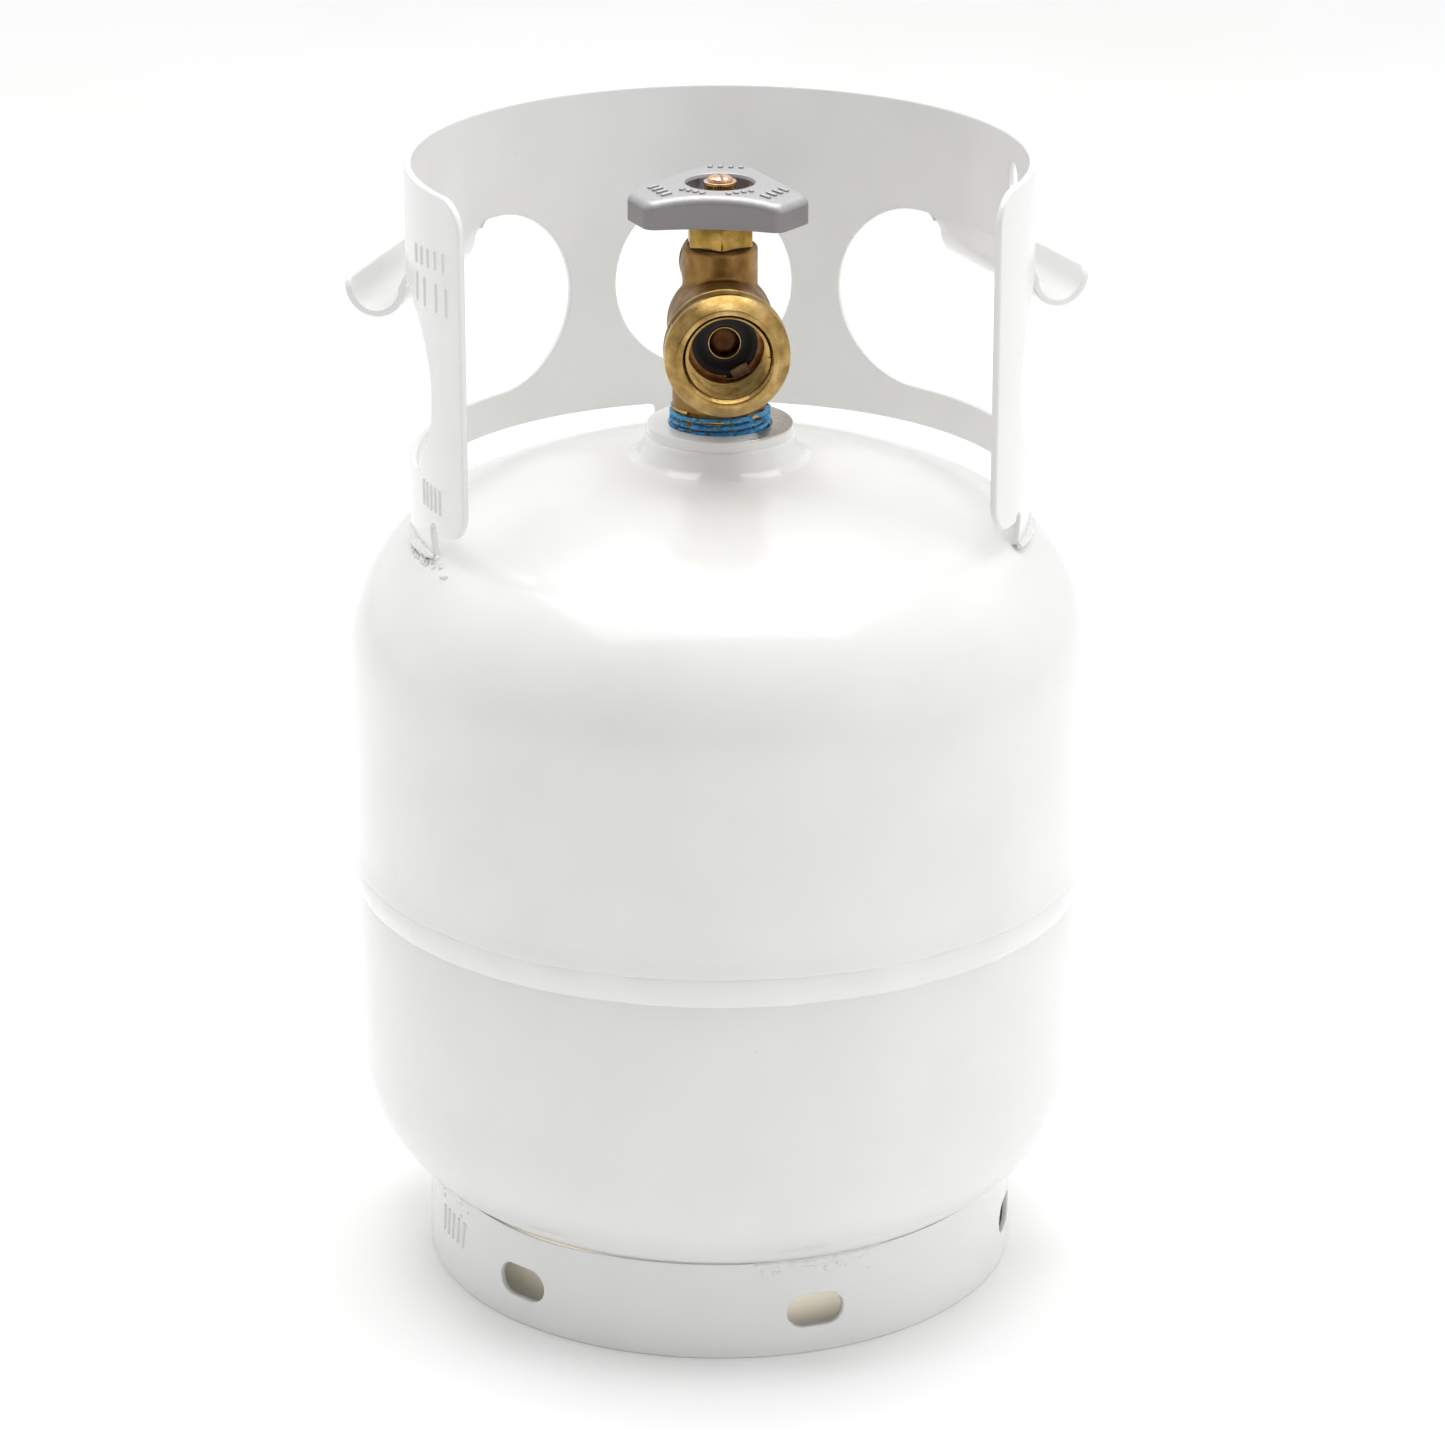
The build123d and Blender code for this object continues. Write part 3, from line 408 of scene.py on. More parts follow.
def turnedBrass(name, centre, direction, tones):
    # free-cutting brass off a lathe: bright, with fine tool lines round the axis
    material, tree, shader, place = newMaterial(name)
    radius, height = radiusFrom(tree, place, centre, direction)
    line = calculated(tree, "MULTIPLY", calculated(tree, "ADD", radius, height), 1 / (0.25 * mm))
    lines = addNode(tree, "TexNoise", {"W": line, "Detail": 2.0}, noise_dimensions="1D").outputs["Fac"]
    colour = ramp(tree, noiseAt(tree, place, 5, 4, 0.6), list(zip((0.3, 0.52, 0.75), tones)))
    nicks = bumpFrom(tree, noiseAt(tree, place, 1.6, 3), 0.05, bumpFrom(tree, lines, 0.012))
    feed(tree, shader, {"Base Color": colour, "Metallic": 1.0, "Normal": nicks,
                        "Roughness": remap(tree, lines, 0.3, 0.7, *turnedRoughness[direction])})
    return material


def castAluminium():
    # die-cast aluminium with a satin grey finish: even sandy grain
    material, tree, shader, place = newMaterial("dieCastAluminium")
    top = ramp(tree, noiseAt(tree, place, 1.2, 3), [(0.3, "#b2b1b2"), (0.7, "#bcbbbc")])
    # painted light and shade: the top is coloured lighter and the sides darker and warmer by which way the
    # surface faces
    upward = addNode(tree, "SeparateXYZ", {0: addNode(tree, "NewGeometry").outputs["Normal"]}).outputs["Z"]
    colour = mixed(tree, remap(tree, upward, 0.1, 0.8, 0, 1), toLinear("#8d888a"), top)
    feed(tree, shader, {"Base Color": colour, "Metallic": 0.55, "Roughness": 0.42,
                        "Normal": bumpFrom(tree, noiseAt(tree, place, 0.5, 2), 0.03)})
    return material


def yellowZinc():
    # zinc plate with yellow passivation: thin-film colours from straw to rose
    material, tree, shader, place = newMaterial("yellowZincPlate")
    film = [(0.25, "#f0e3bd"), (0.42, "#d9b173"), (0.55, "#e2b3a0"), (0.7, "#f3ead0")]
    colour = ramp(tree, noiseAt(tree, place, 2.2, 2), film)
    feed(tree, shader, {"Base Color": colour, "Metallic": 1.0, "Roughness": 0.2})
    return material


def plainFinish(name, tones, blotch, rough, metallic=0.0, grain=0.0, grainSize=0.4):
    # one even material with soft changes of tone and a fine surface grain
    material, tree, shader, place = newMaterial(name)
    colour = ramp(tree, noiseAt(tree, place, blotch, 4, 0.6), [(0.35, tones[0]), (0.65, tones[1])])
    feed(tree, shader, {"Base Color": colour, "Metallic": metallic, "Roughness": rough})
    if grain:
        feed(tree, shader, {"Normal": bumpFrom(tree, noiseAt(tree, place, grainSize, 2), grain)})
    return material


def bareBossMask(tree, place):
    # spray misses the right side of the boss's top face
    height = radiusFrom(tree, place)[1]
    side = addNode(tree, "SeparateXYZ", {0: place}).outputs["X"]
    edge = calculated(tree, "MULTIPLY_ADD", noiseAt(tree, place, 2.5, 3), 0.012, side)
    right = remap(tree, edge, 0.0135, 0.0155, 0, 1)
    top = remap(tree, height, 240.4 * mm, 240.8 * mm, 0, 1)
    return calculated(tree, "MULTIPLY", right, top)


outletZ = sum(span("check_tube", 2)) / 2
white = powderCoatSteel()
whiteBoss = powderCoatSteel("coatedAndBareSteel", bareBossMask)
forged = shotBlastedBrass()
turnedRoughness = {"Y": (0.14, 0.26), "Z": (0.14, 0.24)}
outletBrass = turnedBrass("turnedBrassOutlet", (0, 0, outletZ), "Y", ("#8d7040", "#b09055", "#d0b379"))
stemBrass = turnedBrass("turnedBrassNut", (0, 0, 0), "Z", ("#8d6f35", "#ab8a47", "#cbae6c"))
alloy = castAluminium()
zinc = yellowZinc()
# dried anaerobic thread sealant: chalky blue, flaking
sealantBlue = plainFinish("driedThreadSealant", ("#1a6fae", "#45a3d2"), 1.3, 0.55, 0, 0.06, 0.6)
# nitrile rubber, moulded
rubber = plainFinish("mouldedNitrile", ("#171312", "#241d1a"), 3, 0.5, 0, 0.01, 0.5)
# copper-coloured brass of the check's face, lightly oxidised
copperBrass = plainFinish("oxidisedBrass", ("#90592f", "#b98452"), 2, 0.4, 0.9, 0.02, 0.5)
# the check's face sits deep in its tube; its brass is coloured dark brown as painted shade
shadeDarkenedBrass = plainFinish("shadeDarkenedBrassFace", ("#4a2c16", "#6b4423"), 2, 0.45, 0.8, 0.02, 0.5)
# the ring's bent end, coloured lighter as painted light where it sits in shade
paintedLightCopper = plainFinish("paintedLightCopperBrass", ("#a67b57", "#c69e7b"), 2, 0.5, 0.25, 0.02, 0.4)
springSteel = plainFinish("drawnSpringSteel", ("#77787a", "#929395"), 2, 0.3, 1.0, 0.005, 0.3)
greenPlastic = plainFinish("mouldedPolyethyleneGreen", ("#14301f", "#1f4230"), 4, 0.45, 0, 0.01, 0.6)
acetal = plainFinish("mouldedAcetal", ("#e4e2da", "#efede6"), 6, 0.4, 0, 0.008, 0.8)
# a dark brown finish for the ring in the gap round the nut: painted shade
gapShade = plainFinish("paintedGapShade", ("#1b130b", "#33251a"), 1.5, 0.6, 0, 0.03, 0.5)
print("materials made")

# ---- camera and light

camera = {
    "distance": 1.321,
    "height": 0.6465,
    "azimuth": 3.4,
    "down": 20.449,
    "lens": 127.05,
    "shift": 0.0017,
}
cameraData = bpy.data.cameras.new("camera")
cameraData.lens = camera["lens"]
cameraData.sensor_width = 36
cameraData.shift_x = camera["shift"]
cameraObject = placed("camera", cameraData)
turnCamera = math.radians(camera["azimuth"])
cameraObject.location = (-camera["distance"] * math.sin(turnCamera),
                         -camera["distance"] * math.cos(turnCamera), camera["height"])
cameraObject.rotation_euler = (math.radians(90 - camera["down"]), 0, -turnCamera)
bpy.context.scene.camera = cameraObject
bpy.context.scene.view_settings.view_transform = "Standard"

light = {"room": 1.1, "front": 0.31, "back": 0.88, "top": 9.8, "right": 0.3, "under": 0.024}
world = bpy.data.worlds.new("paleStudio")
bpy.context.scene.world = world
world.use_nodes = True
sky = world.node_tree
sky.nodes.clear()
direction = addNode(sky, "TexCoord").outputs["Generated"]
# the room is dim towards the front left, and a little less bright behind
towardsFront = addNode(sky, "VectorMath", {0: direction, 1: (-0.5, -0.86, 0.08)}, operation="DOT_PRODUCT")
frontLevel = remap(sky, towardsFront.outputs["Value"], 0.1, 0.9, light["room"], light["front"])
backLevel = remap(sky, towardsFront.outputs["Value"], -0.9, -0.2, light["back"], light["room"])
level = calculated(sky, "MINIMUM", frontLevel, backLevel)
background = addNode(sky, "Background", {"Color": (1, 1, 1, 1), "Strength": level})
addNode(sky, "OutputWorld", {"Surface": background.outputs[0]})


def softbox(name, place, size, power):
    data = bpy.data.lights.new(name, "AREA")
    data.shape = "RECTANGLE"
    data.size, data.size_y = size
    data.energy = power
    box = placed(name, data)
    box.location = place
    box.rotation_euler = (Vector((0, 0, 0.15)) - Vector(place)).to_track_quat("-Z", "Y").to_euler()


softbox("topBox", (0, 0.15, 1.3), (1.3, 1.1), light["top"])
softbox("rightBox", (1.1, 0.1, 0.5), (0.8, 1.2), light["right"])
# a weak warm light under the cylinder shows the floor inside the foot ring through its slots
underData = bpy.data.lights.new("underLight", "AREA")
underData.shape = "DISK"
underData.size = 0.12
underData.energy = light["under"]
underData.color = (1.0, 0.92, 0.76)
underLight = placed("underLight", underData)
underLight.location = (0, 0, 0.0085)
underLight.visible_camera = False

floorMesh = bmesh.new()
bmesh.ops.create_grid(floorMesh, x_segments=2, y_segments=2, size=6.0)
floorData = bpy.data.meshes.new("floor")
floorMesh.to_mesh(floorData)
floorMesh.free()
floorData.materials.append(plainFinish("paleFloor", ("#fbfbfa", "#ffffff"), 400, 0.8))
placed("floor", floorData)
print("camera, light and floor ready")

# ---- cylinder shells

shell = {
    "radius": 101.6,
    "lowerRadius": 101.0,
    "wall": 2.1,
    "knuckle": 44.4,
    "crown": 186.0,
    "lowerTangent": 65.0,
    "upperTangent": 177.0,
    "seamTop": 120.0,
    "seamBottom": 112.3,
    "flare": 1.0,
    "flareHeight": 6.5,
    "lap": 10.0,
    "steps": 240,
}


def headOutline(radius, knuckle, crown, tangent, way, stop, steps=22):
    # half the outline of a dished head, from the side to a distance from the axis
    bend = math.degrees(math.acos((radius - knuckle) / (crown - knuckle)))
    side = arc((radius - knuckle, 0), knuckle, 0, bend, steps)
    crownCentre = -(crown - knuckle) * math.sin(math.radians(bend))
    end = math.degrees(math.acos(stop / crown))
    top = arc((0, crownCentre), crown, bend, end, steps)
    return [(x, tangent + way * z) for x, z in side + top[1:]]


def headHeight(distance, radius, way, tangent):
    # height of the outside of a head at a distance from the axis, on its knuckle
    inward = distance - radius + shell["knuckle"]
    return tangent + way * math.sqrt(shell["knuckle"] ** 2 - inward**2)


def upperShell():
    s = shell
    hole = span("valve_boss", 0)[1] + 0.04
    outside = headOutline(s["radius"], s["knuckle"], s["crown"], s["upperTangent"], 1, hole)
    inside = headOutline(s["radius"] - s["wall"], s["knuckle"] - s["wall"], s["crown"] - s["wall"],
                         s["upperTangent"], 1, hole)
    flareTop = s["seamTop"] + s["flareHeight"]
    rim = [(s["radius"] - s["wall"], s["seamTop"], 0.3), (s["radius"] + s["flare"], s["seamTop"], 0.7),
           (s["radius"] + 0.12, flareTop - 1.6, 1.2), (s["radius"], flareTop + 1.5, 1.2)]
    bm = turned(rim + outside + inside[::-1], s["steps"])
    # the drawn edge is not quite round, and ripples a little over the lap
    for vert in bm.verts:
        lowness = 1 - smoothStep(s["seamTop"] + 1, flareTop + 6, vert.co.z)
        if lowness > 0:
            ripple = noise.noise(Vector((vert.co.x, vert.co.y, 0)) * 0.045)
            vert.co.z += 0.5 * ripple * lowness
            vert.co.xy *= 1 + 0.0012 * noise.noise(vert.co * 0.09) * lowness - 0.0008 * lowness
    finishPiece("upperShellSkin", bm, [white], ["upper_shell"])


def lowerShell():
    s = shell
    outside = headOutline(s["lowerRadius"], s["knuckle"], s["crown"], s["lowerTangent"], -1, 0.0)
    inside = headOutline(s["lowerRadius"] - s["wall"], s["knuckle"] - s["wall"], s["crown"] - s["wall"],
                         s["lowerTangent"], -1, 0.0)
    lapRadius = s["radius"] - s["wall"] - 0.2
    lapTop = s["seamTop"] + s["lap"]
    lapLow = s["seamTop"] - s["wall"]
    lap = [(s["lowerRadius"], s["seamBottom"]), (lapRadius, lapLow), (lapRadius, lapTop),
           (lapRadius - s["wall"], lapTop), (lapRadius - s["wall"], lapLow),
           (s["lowerRadius"] - s["wall"], s["seamBottom"])]
    bm = turned(outside[::-1] + lap + inside, s["steps"])
    finishPiece("lowerShellSkin", bm, [white], ["lower_shell"])


def girthBead():
    # two-pass bead: it wanders, and its toes are uneven
    s = shell
    top = (s["radius"] + 0.3, s["seamTop"] + 1.5)
    toe = (s["lowerRadius"] - 0.1, s["seamBottom"] - 0.4)
    face = [(102.45, 120.1), (102.62, 117.6), (102.35, 115.9), (101.95, 114.2), (101.45, 112.9)]
    bm = turned([top] + face + [toe, (98.9, 116.0), (98.9, 121.0)], 480)
    for vert in bm.verts:
        angle = math.atan2(vert.co.y, vert.co.x)
        lap = Vector((math.cos(angle), math.sin(angle), 0))
        wander = noise.noise(lap * 5.0) * 0.5 + noise.noise(lap * 21.0) * 0.5 + noise.noise(lap * 70.0) * 0.15
        if vert.co.xy.length > 101.2:
            lowEnd = 1 - smoothStep(112.5, 118.5, vert.co.z)
            vert.co.z += wander * (0.3 + lowEnd) * (1 - smoothStep(119, 120, vert.co.z))
            swell = noise.noise(Vector((angle * 9.0, vert.co.z * 0.35, 3.0))) * 0.26 - 0.12
            vert.co.xy *= 1 + swell / 101.6
    finishPiece("girthBead", bm, [white], ["girth_weld"], sharp=60)


upperShell()
lowerShell()
girthBead()
print("shells and seam made")

# ---- foot ring

footRing = {
    "middle": 81.4,
    "wall": 2.0,
    "softEdge": 0.55,
    "slots": 6,
    "slotLength": 16.0,
    "slotHeight": 9.5,
    "slotHeightAt": 12.65,
    "firstSlot": 15.0,
    "stitches": (17.0, 107.0, 197.0, 287.0),
    "stitchAngle": 28.0,
}


def stampedMark(azimuth, z, length, tilt, width=2.0, radius=84.0):
    # one plain raised bar on the outside of a band, drawn where a batch mark would be struck
    bm = turnedBy(slab((width, length, 1.1), 0.5), tilt)
    out = around(azimuth, 1, 0)
    sideways = Vector((0, 0, 1)).cross(out)
    frameMatrix = Matrix((sideways, (0, 0, 1), out)).transposed()
    bmesh.ops.transform(bm, matrix=frameMatrix.to_4x4(), verts=bm.verts)
    return moved(bm, around(azimuth, radius - 0.08, z))


def footRingBand():
    f = footRing
    top = span("foot_ring", 2)[1]
    half = math.pi * f["middle"]
    # the band's top edge sits tight at the stitches and opens a little between them
    rim = [(-half, 0), (half, 0), (half, top), (-half, top)]
    slots = []
    for index in range(f["slots"]):
        azimuth = f["firstSlot"] + index * 360 / f["slots"]
        if azimuth > 180:
            azimuth -= 360
        middle = math.radians(azimuth) * f["middle"]
        r = f["slotHeight"] / 2
        flat = f["slotLength"] / 2 - r
        ends = arc((middle + flat, f["slotHeightAt"]), r, -90, 90, 14)
        slots.append(ends + arc((middle - flat, f["slotHeightAt"]), r, 90, 270, 14))
    bm = punchedSheet([rim] + slots, f["wall"], f["softEdge"])
    sliced(bm, 0, [math.radians(a) * f["middle"] for a in range(-178, 180, 2)])
    sliced(bm, 1, [4.0, 8.5, 13.0, 17.5, 22.0])
    for vert in bm.verts:
        azimuth = vert.co.x / f["middle"]
        radius = f["middle"] + vert.co.z
        degreesRound = math.degrees(azimuth)
        # the edge is cut to the head; it stands open from the left round to the front
        open_ = 0.22 + 0.5 * math.exp(-(((degreesRound + 40) / 11) ** 2))
        inGap = smoothStep(-60, -54, degreesRound) * (1 - smoothStep(1, 4, degreesRound))
        lift = smoothStep(22, top, vert.co.y)
        fitted = headHeight(radius, shell["lowerRadius"], -1, shell["lowerTangent"]) - top - 0.06
        z = vert.co.y + lift * (fitted - open_ * inGap)
        vert.co = (math.sin(azimuth) * radius, -math.cos(azimuth) * radius, z)
    bmesh.ops.remove_doubles(bm, verts=bm.verts, dist=0.01)
    bmesh.ops.recalc_face_normals(bm, faces=bm.faces)
    outer = f["middle"] + f["wall"] / 2
    joined(bm, *[stampedMark(-63.5 - 2.3 * i, 17.0, 8.5, -10, 1.3, outer) for i in range(5)])
    evenNormals(finishPiece("footRingBand", bm, [white], ["foot_ring"]))


def blob(place, size, flat=0.5, direction=(0, 0, 1)):
    # one drop of weld spatter under paint
    bm = bmesh.new()
    bmesh.ops.create_icosphere(bm, subdivisions=2, radius=size)
    bmesh.ops.scale(bm, vec=(1, 1, flat), verts=bm.verts)
    return facing(bm, direction, place)


def beadRun(points, size, waviness, seed, steps=10):
    # a painted weld bead along a run of points, lumpy and closed at its ends
    bm = bmesh.new()
    count = len(points)
    rings = []
    for index, point in enumerate(points):
        ahead = Vector(points[min(index + 1, count - 1)]) - Vector(points[max(index - 1, 0)])
        taper = math.sin(math.pi * min(1, max(0.04, index / (count - 1) * 0.98 + 0.01))) ** 0.35
        lump = 1 + waviness * noise.noise(Vector((index * 0.33, seed, 0)))
        made = bmesh.ops.create_circle(bm, segments=steps, radius=size * taper * lump)["verts"]
        turn = Vector((0, 0, 1)).rotation_difference(ahead.normalized()).to_matrix()
        bmesh.ops.rotate(bm, cent=(0, 0, 0), matrix=turn, verts=made)
        bmesh.ops.translate(bm, vec=point, verts=made)
        rings.append({e for v in made for e in v.link_edges})
    for first, second in zip(rings, rings[1:]):
        bmesh.ops.bridge_loops(bm, edges=list(first | second))
    for ring in (rings[0], rings[-1]):
        bmesh.ops.contextual_create(bm, geom=[e for e in ring if e.is_boundary])
    bmesh.ops.recalc_face_normals(bm, faces=bm.faces)
    return bm


def footWelds():
    f = footRing
    top = span("foot_ring", 2)[1]
    outer = f["middle"] + f["wall"] / 2
    runs = []
    for seed, middle in enumerate(f["stitches"]):
        azimuths = [middle - f["stitchAngle"] / 2 + f["stitchAngle"] * i / 60 for i in range(61)]
        points = [around(a, outer - 0.55 + 0.25 * noise.noise(Vector((a * 0.3, seed, 5))),
                         top + 0.35 + 0.3 * noise.noise(Vector((a * 0.2, seed, 9)))) for a in azimuths]
        runs.append(beadRun(points, 1.55, 0.5, seed))
        for _ in range(16):
            azimuth = middle + random.uniform(-0.5, 0.45) * f["stitchAngle"]
            z = top - abs(random.gauss(0, 2.6)) - 0.6
            place = around(azimuth, outer - 0.08, z)
            runs.append(blob(place, random.uniform(0.3, 0.85), 0.5, around(azimuth, 1, 0)))
    bm = joined(bmesh.new(), *runs)
    finishPiece("footRingStitches", bm, [white], ["foot_ring_welds"], sharp=70)


footRingBand()
footWelds()
print("foot ring made")

# ---- guard collar: cut flat as one sheet, then rolled, and its two lips curled

collarSheet = {
    "middle": 83.0,
    "wall": 2.0,
    "softEdge": 0.6,
    "lowEdge": 221.5,
    "opening": 56.6,
    "corner": 9.0,
    "windowRadius": 25.5,
    "windowAt": 258.0,
    "windowStart": 68.3,
    "windowEnd": 152.5,
    "rearFoot": 9.7,
    "frontFootEnd": 87.7,
    "notch": 2.0,
    "tagHole": 4.0,
    "tagAzimuth": 102.0,
    "tagAt": 303.0,
    "lipAzimuth": 110.4,
    "lipHalfAngle": 20.0,
    "lipBend": 7.6,
    "lipBendAt": 279.0,
    "lipSweep": 162.0,
    "lipTail": 4.0,
}


def along(azimuth):
    # distance along the flat sheet from the middle of the back
    return math.radians(azimuth - 180) * collarSheet["middle"]


def collarRim():
    c = collarSheet
    low, top = span("collar", 2)
    corner = c["corner"]
    front, notch = along(c["opening"]), along(c["windowStart"])
    footEnd, rear = along(c["frontFootEnd"]), along(180 - c["rearFoot"])
    side = [(0, top)]
    side += arc((front + corner, top - corner), corner, 90, 180, 12)
    side += arc((front + corner, c["lowEdge"] + corner), corner, 180, 270, 12)
    side += arc((notch, c["lowEdge"]), c["notch"], 180, -10, 12)[:-1]
    side += [(notch + 0.4, low + 0.6), (notch + 1.2, low), (footEnd - 1.0, low), (footEnd, low + 1)]
    side += arc((footEnd + 1.5, c["lowEdge"] - 1.5), 1.5, 180, 90, 5)
    side += arc((rear - 1.5, c["lowEdge"] - 1.5), 1.5, 90, 0, 5)
    side += [(rear, low + 1), (rear + 1, low), (0, low)]
    # the other half is its mirror image, without the shared middle points
    return side + [(-x, z) for x, z in side[-2:0:-1]]


def sideWindow():
    # the round-ended window with the lip's tab still in it, right side
    c = collarSheet
    r, z = c["windowRadius"], c["windowAt"]
    first, last = along(c["windowStart"]) + r, along(c["windowEnd"]) - r
    tabFirst, tabLast = along(c["lipAzimuth"] - c["lipHalfAngle"]), along(c["lipAzimuth"] + c["lipHalfAngle"])
    tabLow = c["lipBendAt"] - math.radians(c["lipSweep"]) * c["lipBend"] - c["lipTail"]
    outline = arc((first, z), r, 90, 270, 40)
    outline += arc((last, z), r, -90, 90, 40)
    outline += arc((tabLast + 3, z + r - 3), 3, 90, 180, 6)
    outline += arc((tabLast - 4, tabLow + 4), 4, 0, -90, 7)
    outline += arc((tabFirst + 4, tabLow + 4), 4, -90, -180, 7)
    outline += arc((tabFirst - 3, z + r - 3), 3, 0, 90, 6)
    return outline


def rollCollar(bm):
    # bend every vertex of the flat sheet to its place; y is height and z is through the sheet
    c = collarSheet
    middle = c["middle"]
    half = math.radians(c["lipHalfAngle"])
    straight = middle * (1 + math.cos(half)) / 2
    windowTop = c["windowAt"] + c["windowRadius"]
    sweep = math.radians(c["lipSweep"])
    for vert in bm.verts:
        x, height, through = vert.co
        azimuth = math.pi + x / middle
        side = 1 if x < 0 else -1
        lip = side * (azimuth if side > 0 else azimuth - math.tau) - math.radians(c["lipAzimuth"])
        inTab = abs(lip) < half + 0.002 and c["windowAt"] - 8 < height < windowTop - 0.001
        if not inTab:
            radius = middle + through
            vert.co = (math.sin(azimuth) * radius, -math.cos(azimuth) * radius, height)
            continue
        lipMiddle = math.radians(c["lipAzimuth"])
        out = Vector((side * math.sin(lipMiddle), -math.cos(lipMiddle), 0))
        tangent = Vector((0, 0, 1)).cross(out) * side
        flatness = 1 - max(0, height - c["lipBendAt"]) / (windowTop - c["lipBendAt"])
        acrossTab = middle * math.sin(lip) + through * math.sin(lip) * (1 - flatness)
        rolled = middle * math.cos(lip) + through * (math.cos(lip) * (1 - flatness) + flatness)
        radial = (rolled - through) * (1 - flatness) + straight * flatness + through
        z = height
        down = c["lipBendAt"] - height
        if down > 0:
            turn = min(down / c["lipBend"], sweep)
            past = max(0, down - sweep * c["lipBend"])
            reach = c["lipBend"] - through
            radial = straight + c["lipBend"] - reach * math.cos(turn) + past * math.sin(turn)
            z = c["lipBendAt"] - reach * math.sin(turn) - past * math.cos(turn)
        place = out * radial + tangent * acrossTab
        vert.co = (place.x, place.y, z)


def guardCollar():
    c = collarSheet
    window = sideWindow()
    other = [(-x, z) for x, z in window]
    rear = arc((0, c["windowAt"]), c["windowRadius"], 0, 354, 59)
    tag = arc((along(c["tagAzimuth"]), c["tagAt"]), c["tagHole"], 0, 345, 23)
    bm = punchedSheet([collarRim(), window, other, rear, tag], c["wall"], c["softEdge"])
    edge = 180 - c["opening"]
    cuts = [math.radians(edge * (2 * i / 198 - 1)) * c["middle"] for i in range(1, 198)]
    sliced(bm, 0, cuts)
    windowTop = c["windowAt"] + c["windowRadius"]
    tabs = (along(c["lipAzimuth"] - c["lipHalfAngle"]) - 0.1,
            along(c["lipAzimuth"] + c["lipHalfAngle"]) + 0.1)

    def onTab(place):
        return tabs[0] < -abs(place.x) < tabs[1] and c["windowAt"] - 8 < place.y < windowTop + 0.01

    tabCuts = [windowTop - i * 0.9 for i in range(1, 33)]
    sliced(bm, 1, tabCuts, onTab)
    sliced(bm, 1, [218.0, 226.0, 233.0, 284.5, 292.0, 300.0, 308.0])
    rollCollar(bm)
    bmesh.ops.remove_doubles(bm, verts=bm.verts, dist=0.002)
    bmesh.ops.recalc_face_normals(bm, faces=bm.faces)
    # plain bars stand where the maker strikes a batch and a weight
    marks = [stampedMark(-62.5 - 3.1 * i, 297.0 - 0.4 * i, 5.4, 0) for i in range(5)]
    marks += [stampedMark(-61.5, 286.5, 8.0, 0, 1.8), stampedMark(-65.3, 286.5, 8.0, 0, 1.8)]
    marks += [stampedMark(-70.5, 286.5, 8.0, 0, 1.8), stampedMark(-74.6, 286.5, 8.0, 0, 1.8)]
    marks += [stampedMark(-65.2 - 1.9 * i, 230.5, 7.2, 0, 1.2) for i in range(5)]
    joined(bm, *marks)
    evenNormals(finishPiece("guardCollar", bm, [white], ["collar"], sharp=50))


def collarWelds():
    # a bead outside each foot, with a crumbled patch of spatter at the left front foot
    c = collarSheet
    low = span("collar", 2)[0]
    outer = c["middle"] + c["wall"] / 2
    runs = []
    spans = ((180 - c["rearFoot"], 180 + c["rearFoot"]), (c["windowStart"], c["frontFootEnd"]),
             (-c["frontFootEnd"], -c["windowStart"]))
    for seed, (first, last) in enumerate(spans):
        azimuths = [first + (last - first) * i / 40 for i in range(41)]
        points = [around(a, outer + 0.3, low + 0.25 + 0.4 * noise.noise(Vector((a * 0.25, seed, 2))))
                  for a in azimuths]
        runs.append(beadRun(points, 1.5, 0.55, seed + 20))
    for _ in range(46):
        azimuth = random.gauss(-72.5, 4.0)
        out = outer + random.uniform(-0.1, 1.6)
        z = headHeight(out, shell["radius"], 1, shell["upperTangent"])
        lift = random.random() ** 2 * 3.2 if out < outer + 0.5 else 0
        runs.append(blob(around(azimuth, out, z + lift + 0.1), random.uniform(0.35, 0.95), 0.7,
                         around(azimuth, 1, 0.6)))
    bm = joined(bmesh.new(), *runs)
    finishPiece("collarFootWelds", bm, [white], ["collar_welds"], sharp=70)


guardCollar()
collarWelds()
print("collar made")

# ---- boss in the head

boss = {"weldOut": 25.2, "chamfer": 0.4, "bore": 13.39}


def valveBoss():
    low, top = span("valve_boss", 2)
    outer = span("valve_boss", 0)[1]
    profile = [(boss["bore"], low), (outer, low), (outer, top, boss["chamfer"]),
               (boss["bore"] + 0.8, top, 0.15), (boss["bore"], top - 0.8)]
    bm = turned(profile, 180)
    finishPiece("valveBossRing", bm, [whiteBoss], ["valve_boss"])


def bossWeld():
    # fillet weld that the paint has rounded into a soft shoulder
    outer = span("valve_boss", 0)[1] + 0.02
    low, top = span("boss_weld", 2)
    dome = headOutline(shell["radius"], shell["knuckle"], shell["crown"], shell["upperTangent"], 1, 0.0)
    crownCentre = dome[-1][1] - shell["crown"]
    foot = boss["weldOut"]
    footZ = crownCentre + math.sqrt(shell["crown"] ** 2 - foot**2)
    profile = [(outer, footZ - 2), (outer, top), (outer + 0.6, top - 0.1, 0.3), (outer + 1.3, top - 2.2, 0.8),
               (outer + 3.0, footZ + 1.0, 0.9), (foot, footZ - 0.05), (foot, footZ - 2)]
    bm = turned(profile, 240)
    for vert in bm.verts:
        reach = vert.co.xy.length
        if outer + 0.2 < reach < foot - 0.1:
            angle = math.atan2(vert.co.y, vert.co.x)
            round_ = Vector((math.cos(angle), math.sin(angle), reach * 0.05))
            lump = noise.noise(round_ * 3.0) * 0.5 + noise.noise(round_ * 9.0) * 0.2
            vert.co.z += min(0, lump - 0.05) if vert.co.z > top - 0.5 else lump * 0.7
    finishPiece("bossFillet", bm, [white], ["boss_weld"], sharp=60)


valveBoss()
bossWeld()
print("boss made")

# ---- valve body

